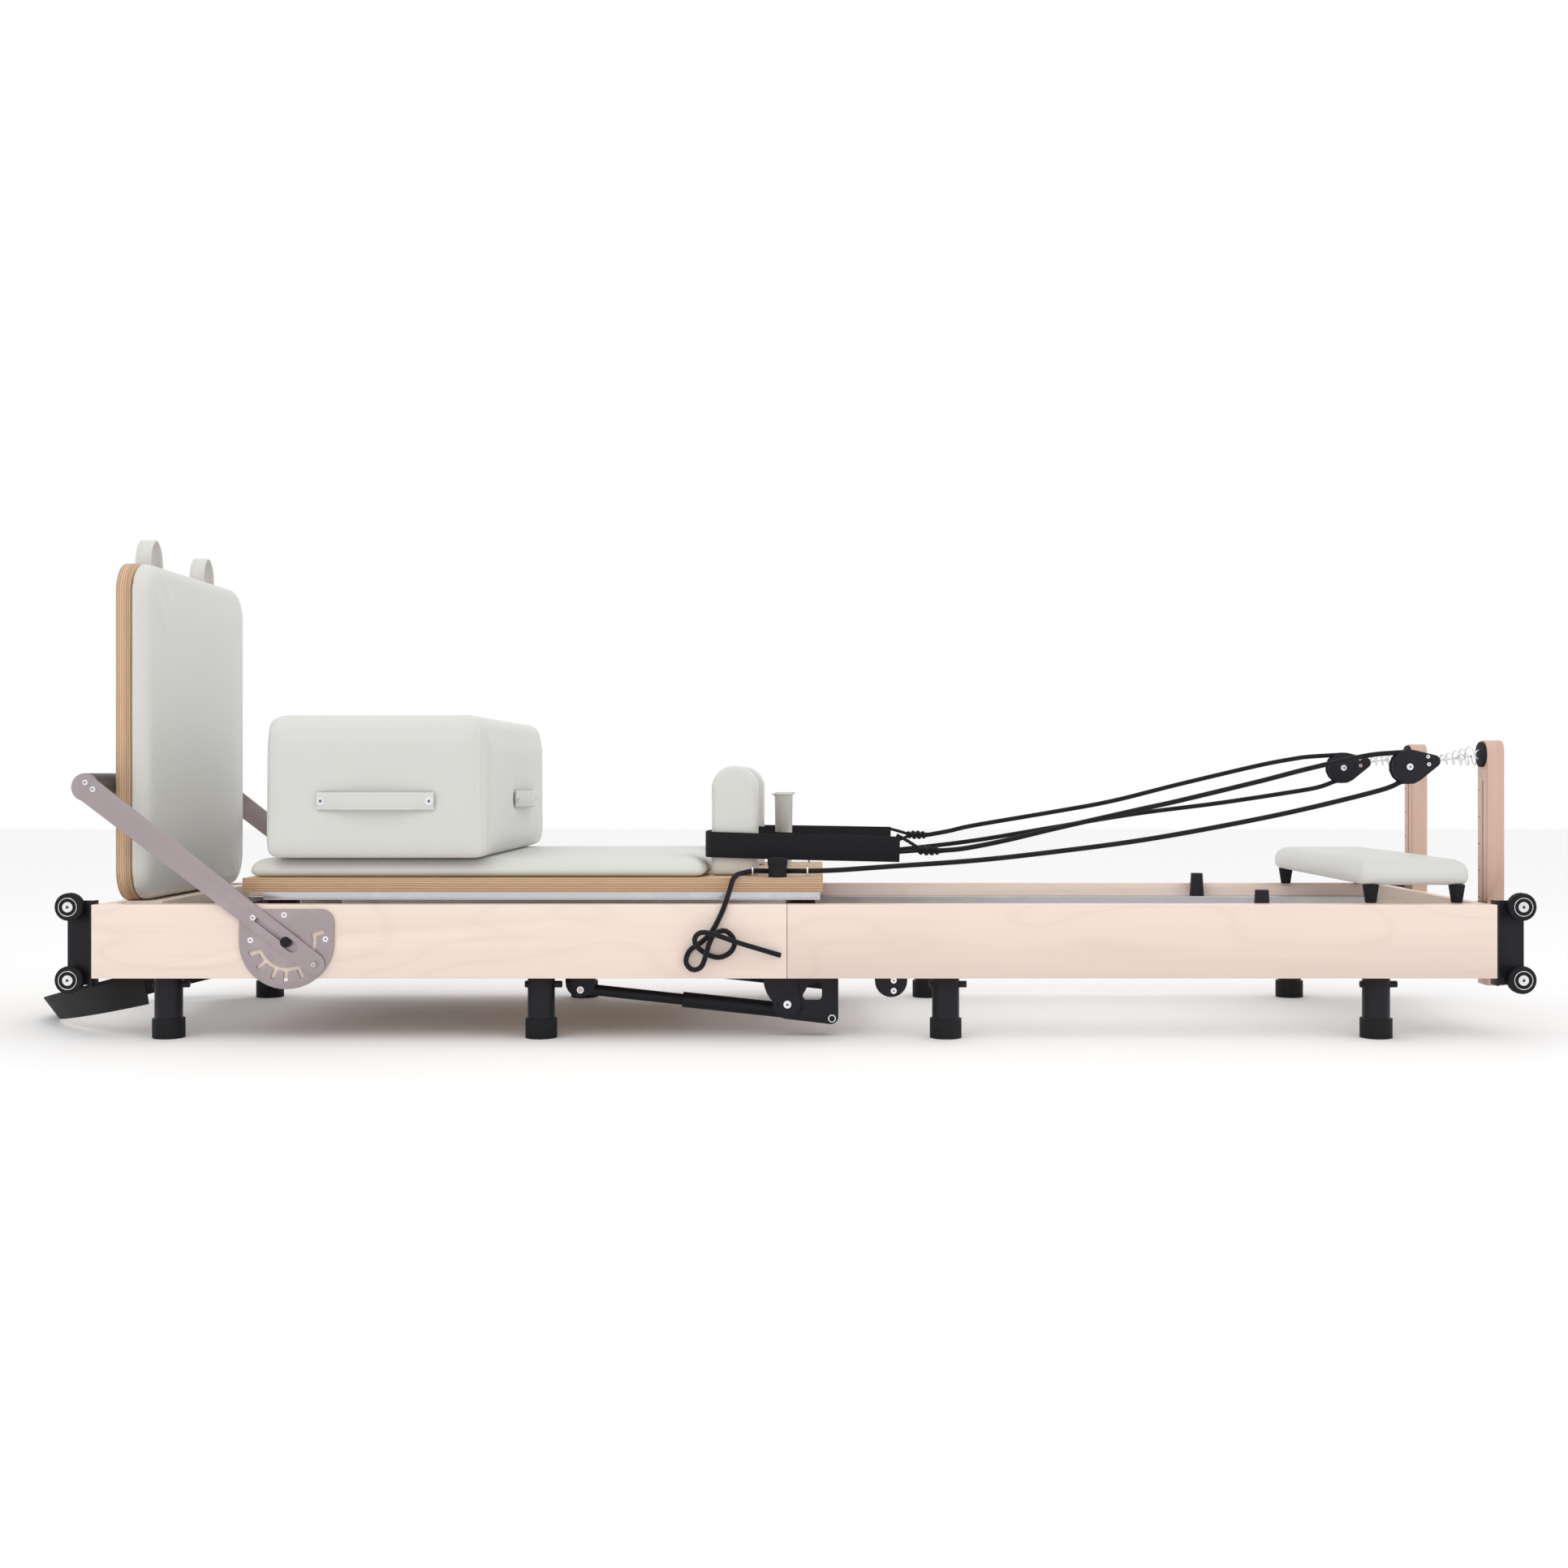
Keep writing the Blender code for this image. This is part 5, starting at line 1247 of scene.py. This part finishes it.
class REFORMER_OT_carriage_cushions(bpy.types.Operator):
    """The carriage's pad, shoulder rests and loop posts"""
    bl_idname = "reformer.carriage_cushions"
    bl_label = "Carriage cushions"

    def execute(self, context):
        board = DECK_TOP + GAP
        pad = cushion("carriage_cushion", (-0.890, -0.292, board), (-0.095, 0.292, 0.3100), 0.012,
                      (0.003, 0.003, 0.004), 0.014, (2, -1))
        upholster(pad, "carriage", "carriage_pad")
        for side, sign in SIDES:
            outline = ([(-0.0900, board), (-0.0090, board)]
                       + arc((-0.0495, 0.4315), 0.0405, 0, 180, 18))
            even = []
            for n, point in enumerate(outline):
                after = outline[(n + 1) % len(outline)]
                gap = math.dist(point, after)
                steps = max(1, round(gap / 0.008))
                even += [(point[0] + (after[0] - point[0]) * k / steps,
                          point[1] + (after[1] - point[1]) * k / steps) for k in range(steps)]
            ends = sorted((sign * 0.1345, sign * 0.2295))
            rest = bolster(f"{side}_rest_cushion", even, *ends, "XZ", 0.009, 0.009, 0.002, 0.002,
                           0.004, (2, -1))
            upholster(rest, "carriage", f"{side}_shoulder_rest")
            seam = [(u, ends[0] + 0.008, v) for u, v in even if v > 0.282]
            back = [(u, ends[1] - 0.008, v) for u, v in even if v > 0.282]
            stitches(f"{side}_rest_stitches", [seam, back], rest, "carriage")
            post = bmesh.new()
            add_turned(post, [(0, 0), (0.0115, 0), (0.0125, 0.001), (0.0145, 0.1385),
                              (0.0165, 0.1402), (0.0196, 0.1420), (0.0200, 0.1430),
                              (0.0186, 0.1440), (0, 0.1440)],
                       Matrix.Translation((0.034, sign * 0.122, board)), 32)
            post = piece(f"{side}_post_cover", post, "hide", smooth=50)
            upholster(post, "carriage", f"{side}_loop_post")
        return {"FINISHED"}


# ---- jump board, box and platform -----------------------------------------------------------

def sewn_band(name, path, across, width, body, reach, sewn):
    """A band of cover cloth, with a row of stitches that far to each side of the sewn path."""
    mesh = bmesh.new()
    add_band(mesh, smooth_route(path, 0.004), across, width, 0.0026)
    band = piece(name, mesh, "hide", body, smooth=60)
    stitches(f"{name}_stitches", [[tuple(c + way * reach * a for c, a in zip(point, across))
                                   for point in sewn] for way in (-1, 1)], band, body)


class REFORMER_OT_jump_board(bpy.types.Operator):
    """The upright jump board: plywood back, padded face and two carrying loops"""
    bl_idname = "reformer.jump_board"
    bl_label = "Jump board"

    def execute(self, context):
        mesh = bmesh.new()
        outline = rounded_outline((-0.266, RAIL_TOP + GAP), (0.266, 0.828), 0.055)
        add_plate(mesh, outline, -1.1255, -1.1008, "YZ")
        for face in mesh.faces:
            face.material_index = 0 if abs(face.normal.x) > 0.7 else 1
        board = piece("jump_board_back", mesh, ["veneer_up", "ply_up"])
        rounded(board, 0.0015)
        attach(board, "jump_board")
        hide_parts("jump_board")
        pad = bolster("jump_cushion", outline, -1.1005, -1.0600, "YZ", 0.004, 0.022, 0.004, 0.002,
                      0.008, (0, -1))
        upholster(pad, "jump_board", "jump_board_pad")
        for side, sign in SIDES:
            path = [(-1.113, sign * 0.140 + y, z) for y, z in
                    ((-0.030, 0.800), (-0.030, 0.828), (-0.0285, 0.846), (-0.022, 0.862),
                     (-0.011, 0.873), (0.0, 0.8775), (0.011, 0.873), (0.022, 0.862),
                     (0.0285, 0.846), (0.030, 0.828), (0.030, 0.800))]
            sewn_band(f"{side}_board_loop", path, (1, 0, 0), 0.028, "jump_board", 0.0115,
                      path[1:-1])
        return {"FINISHED"}


class REFORMER_OT_sitting_box(bpy.types.Operator):
    """The sitting box with its two handles, dimples and rows of stitching"""
    bl_idname = "reformer.sitting_box"
    bl_label = "Sitting box"

    def execute(self, context):
        low, high = Vector((-0.853, -0.328, 0.3105)), Vector((-0.466, 0.328, 0.557))
        box = cushion("box_cover", low, high, 0.018, (0.004, 0.004, 0.003), 0.013, (2, -1),
                      cap=0.005)
        dent(box, [(-0.745, low.y, HANDLE_Z), (-0.570, low.y, HANDLE_Z)], 0.0045, 0.022, 2)
        dent(box, [(high.x, -0.038, HANDLE_Z), (high.x, 0.158, HANDLE_Z)], 0.0045, 0.020, -1)
        upholster(box, "sitting_box", "sitting_box")
        rows = []
        for x, y in ((high.x - 0.007, low.y), (high.x - 0.013, low.y), (low.x + 0.011, low.y),
                     (high.x, low.y + 0.007), (high.x, high.y - 0.011)):
            rows.append([(x, y, 0.325 + n * 0.0125) for n in range(18)])
        for y in (low.y + 0.010, high.y - 0.010):
            rows.append([(low.x + 0.02 + n * 0.0205, y, high.z) for n in range(18)])
        stitches("box_stitches", rows, box, "sitting_box")
        front = [(-0.7577, -0.3300), (-0.7450, -0.3300), (-0.7340, -0.3325), (-0.7000, -0.3395),
                 (-0.6576, -0.3420), (-0.6150, -0.3395), (-0.5810, -0.3325), (-0.5700, -0.3300),
                 (-0.5575, -0.3300)]
        end = [(-0.050, 0), (-0.038, 0), (-0.026, 0.0028), (0.010, 0.0100), (0.060, 0.0135),
               (0.110, 0.0100), (0.146, 0.0028), (0.158, 0), (0.170, 0)]
        for name, path in (("front", [(x, y, HANDLE_Z) for x, y in front]),
                           ("end", [(-0.4640 + out, y, HANDLE_Z) for y, out in end])):
            sewn_band(f"box_{name}_handle", path, (0, 0, 1), 0.030, "sitting_box", 0.0125, path)
        bolts("box_handle_screws",
              [(-0.7500, -0.3312, HANDLE_Z, (0, -1, 0)), (-0.5650, -0.3312, HANDLE_Z, (0, -1, 0)),
               (-0.4628, -0.043, HANDLE_Z, (1, 0, 0)), (-0.4628, 0.163, HANDLE_Z, (1, 0, 0))],
              "sitting_box", 0.0058)
        return {"FINISHED"}


class REFORMER_OT_platform(bpy.types.Operator):
    """The standing platform's pad and its four tapered feet"""
    bl_idname = "reformer.platform"
    bl_label = "Platform"

    def execute(self, context):
        pad = cushion("platform_cushion", (1.029, -0.305, 0.2630), (1.227, 0.305, 0.308), 0.013,
                      (0.003, 0.003, 0.005), 0.012, (2, -1))
        upholster(pad, "platform", "platform")
        feet = bmesh.new()
        for x in (1.055, 1.204):
            for y in (-0.286, 0.286):
                add_turned(feet, [(0, 0), (0.0085, 0), (0.0095, 0.001), (0.0140, 0.0305),
                                  (0.0132, 0.0317), (0, 0.0317)],
                           Matrix.Translation((x, y, RAIL_TOP + GAP)), 28)
        piece("platform_feet", feet, "rubber", "platform")
        return {"FINISHED"}


# ---- struts, pulleys and straps -------------------------------------------------------------

class REFORMER_OT_struts(bpy.types.Operator):
    """The two folding struts"""
    bl_idname = "reformer.struts"
    bl_label = "Struts"

    def execute(self, context):
        for side, _ in SIDES:
            for part in ("rod", "tube"):
                refined(f"{side}_strut_{part}", "black", 0.0005)
        return {"FINISHED"}


class REFORMER_OT_pulleys(bpy.types.Operator):
    """Posts with their marks, pulley blocks on conical springs, and sheaves"""
    bl_idname = "reformer.pulleys"
    bl_label = "Pulleys"

    def execute(self, context):
        for side, sign in SIDES:
            y = sign * PULLEY_Y
            refined(f"{side}_post", ["post_wood", "rubber"], 0.0014,
                    lambda at, normal: 1 if at.x < POST_LEFT - 0.0004 else 0, flat=0)
            marks = [(POST_LEFT + 0.0001, y + 0.0170, 0.2360 + n * 0.0476) for n in range(5)]
            grown(f"{side}_post_marks", "ticks", marks, [], {
                "Width": 0.0095, "Height": 0.0010, "Ink": LOOKS["black"]}, f"{side}_riser")
            eye = bmesh.new()
            ring(eye, (1.2735, y, EYE_Z), (0, 1, 0), 0.0068, 0.0018)
            add_rod(eye, (POST_RIGHT - 0.002, y, EYE_Z), (POST_RIGHT + 0.006, y, EYE_Z), 0.0062, 6)
            piece(f"{side}_eyebolt", eye, "chrome", f"{side}_riser")
            cheeks = bmesh.new()
            outline = hull_of_circles((PULLEY_X, PULLEY_Z), 0.031, (1.190, 0.478), 0.011)
            for low, high in ((-0.0102, -0.0072), (0.0072, 0.0102)):
                add_plate(cheeks, outline, y + low, y + high)
            add_rod(cheeks, (1.188, y - 0.0100, 0.4775), (1.188, y + 0.0100, 0.4775), 0.0062, 20)
            add_rod(cheeks, (PULLEY_X, y - 0.0128, PULLEY_Z), (PULLEY_X, y + 0.0128, PULLEY_Z),
                    0.0056, 20)
            block = piece(f"{side}_cheeks", cheeks, "black")
            rounded(block, 0.0006)
            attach(block, f"{side}_pulley")
            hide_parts(f"{side}_pulley_block")
            spring = bmesh.new()
            add_tube(spring, helix((1.1930, y, 0.4790), (1.2655, y, 0.4883), 0.0062, 0.0178, 6, 18),
                     0.0011, 8)
            add_rod(spring, (1.1900, y, 0.4785), (1.2340, y, 0.4842), 0.0022, 12)
            ring(spring, (1.2400, y, 0.4850), (0, 1, 0), 0.0058, 0.0014)
            ring(spring, (1.2520, y, 0.4866), (0, 0, 1), 0.0058, 0.0014)
            piece(f"{side}_cone_spring", spring, "chrome", f"{side}_pulley", smooth=60)
            refined(f"{side}_sheave", "black", 0.0004)
            bolts(f"{side}_pulley_bolt", [(PULLEY_X, y - 0.0124, PULLEY_Z, (0, -1, 0)),
                                          (PULLEY_X, y + 0.0124, PULLEY_Z, (0, 1, 0))],
                  f"{side}_pulley", 0.0046)
            bolts(f"{side}_cheek_bolts", [(x, y + way * 0.0102, z, (0, way, 0)) for way in (-1, 1)
                                          for x, z in ((1.1790, 0.4860), (1.1805, 0.4725))],
                  f"{side}_pulley", 0.0027, 0.0012)
        return {"FINISHED"}


class REFORMER_OT_straps(bpy.types.Operator):
    """The webbing hand loops with their knots, and the foot strap"""
    bl_idname = "reformer.straps"
    bl_label = "Straps"

    def execute(self, context):
        middle = (STRAP_LOW + STRAP_HIGH) / 2
        for side, sign in SIDES:
            sag = 0.010 if sign < 0 else 0.004
            route = smooth_route([(x, sign * -y, middle - sag * (x + 0.1) / 0.343)
                                  for x, y in STRAP_LOOP], 0.008)
            band = bmesh.new()
            add_band(band, route, (0, 0, 1), STRAP_HIGH - STRAP_LOW + 0.004, 0.0030)
            piece(f"{side}_hand_loop", band, "web", "rope_ends", f"{side}_hand_strap",
                  60)
            knot_z = (FRONT_UPPER if sign < 0 else REAR_UPPER)[0][1]
            y, legs = sign * 0.2040, bmesh.new()
            for z in (STRAP_LOW + 0.005, STRAP_HIGH - 0.005):
                path = smooth_route([(0.2380, y, z), (0.2560, y, z + (knot_z - z) * 0.35),
                                     (0.2800, y, knot_z + (z - knot_z) * 0.1)], 0.004)
                add_tube(legs, path, 0.0030, 10)
            for n, wide in enumerate((0.0072, 0.0085, 0.0085, 0.0074)):
                x = 0.2800 + n * 0.0095
                ring(legs, (x, y, knot_z), (1, 0.25 * (-1) ** n, 0.3), wide - 0.0036, 0.0042, 18)
            add_tube(legs, [(0.276, y, knot_z), (0.296, y, knot_z), (0.318, y, knot_z)], 0.0048, 10)
            piece(f"{side}_loop_knot", legs, "rope", "rope_ends", smooth=60)
        half = [(-1.062, -0.2915), (-1.155, -0.245), (-1.250, -0.165), (-1.312, -0.085),
                (-1.333, 0.0)]
        whole = half + [(x, -y) for x, y in half[-2::-1]]
        path, acrosses = [], []
        for point in smooth_route([(x, y, 0.0) for x, y in whole], 0.010):
            share = (-1.062 - point.x) / 0.271
            path.append(Vector((point.x, point.y, 0.081 - 0.061 * share)))
            acrosses.append(Vector((-0.82 * share, 0.0, 1.0)))
        band = bmesh.new()
        add_band(band, path, acrosses, 0.048, 0.0026)
        piece("foot_strap_band", band, "web", "left_frame", "foot_strap", 60)
        return {"FINISHED"}


# ---- stage ----------------------------------------------------------------------------------

class REFORMER_OT_looks(bpy.types.Operator):
    """Every finish, and the trees that make stitches, bolts and marks"""
    bl_idname = "reformer.looks"
    bl_label = "Finishes"

    def execute(self, context):
        make_looks(context.scene.reformer_colours)
        make_stitch_tree()
        make_bolt_tree()
        make_tick_tree()
        return {"FINISHED"}


class REFORMER_OT_stage(bpy.types.Operator):
    """The camera, pale floor, soft lights and pale surroundings"""
    bl_idname = "reformer.stage"
    bl_label = "Stage"

    def execute(self, context):
        scene = context.scene
        scene.view_settings.view_transform = "Standard"
        lens = bpy.data.cameras.new("view")
        lens.lens, lens.sensor_width = 41.7, 36.0
        lens.shift_x, lens.shift_y = -0.0223, -0.0052
        camera = linked("view", lens)
        camera.location = (0.10, -3.43, 0.452)
        camera.rotation_euler = (math.radians(90), 0, 0)
        scene.camera = camera
        size = scene.reformer_sizes.floor
        data = bpy.data.meshes.new("floor")
        data.from_pydata([(-size, -size, 0), (size, -size, 0), (size, size, 0), (-size, size, 0)],
                         [], [(0, 1, 2, 3)])
        data.materials.append(Finish("floor", (0.92, 0.92, 0.92), 0.85).material)
        linked("floor", data)
        for name, place, turn, power, wide in (
                ("key", (-1.6, -2.6, 3.0), (42, 0, -28), 17.0, 2.2),
                ("fill", (2.6, -2.2, 2.2), (52, 0, 48), 8.0, 2.2),
                ("top", (0.0, 0.6, 3.4), (0, 0, 0), 9.0, 2.6)):
            light = bpy.data.lights.new(name, "AREA")
            light.energy, light.size = power, wide
            lamp = linked(name, light)
            lamp.location = place
            lamp.rotation_euler = [math.radians(angle) for angle in turn]
        world = bpy.data.worlds.new("surroundings")
        world.use_nodes = True
        sky = world.node_tree.nodes["Background"]
        sky.inputs["Color"].default_value = (1.0, 1.0, 1.0, 1.0)
        sky.inputs["Strength"].default_value = 1.0
        scene.world = world
        return {"FINISHED"}


PIECES = (REFORMER_OT_looks, REFORMER_OT_stage, REFORMER_OT_ropes, REFORMER_OT_frame,
          REFORMER_OT_fittings, REFORMER_OT_wheels, REFORMER_OT_foot_bar, REFORMER_OT_springs,
          REFORMER_OT_carriage, REFORMER_OT_carriage_cushions, REFORMER_OT_jump_board,
          REFORMER_OT_sitting_box, REFORMER_OT_platform, REFORMER_OT_struts, REFORMER_OT_pulleys,
          REFORMER_OT_straps)


class REFORMER_PT_panel(bpy.types.Panel):
    """Sizes, colours and the pieces, in the order they are made"""
    bl_label = "Reformer"
    bl_idname = "REFORMER_PT_panel"
    bl_space_type = "VIEW_3D"
    bl_region_type = "UI"
    bl_category = "Reformer"

    def draw(self, context):
        for group in (context.scene.reformer_sizes, context.scene.reformer_colours):
            column = self.layout.column(align=True)
            for name in group.__annotations__:
                column.prop(group, name)
        column = self.layout.column(align=True)
        for operator in PIECES:
            column.operator(operator.bl_idname)


CLASSES = (ReformerSizes, ReformerColours, *PIECES, REFORMER_PT_panel)


def register():
    for item in CLASSES:
        bpy.utils.register_class(item)
    bpy.types.Scene.reformer_sizes = PointerProperty(type=ReformerSizes)
    bpy.types.Scene.reformer_colours = PointerProperty(type=ReformerColours)


def unregister():
    del bpy.types.Scene.reformer_colours
    del bpy.types.Scene.reformer_sizes
    for item in reversed(CLASSES):
        bpy.utils.unregister_class(item)


def main():
    register()
    for operator in PIECES:
        group, name = operator.bl_idname.split(".")
        getattr(getattr(bpy.ops, group), name)()


if __name__ == "__main__":
    main()
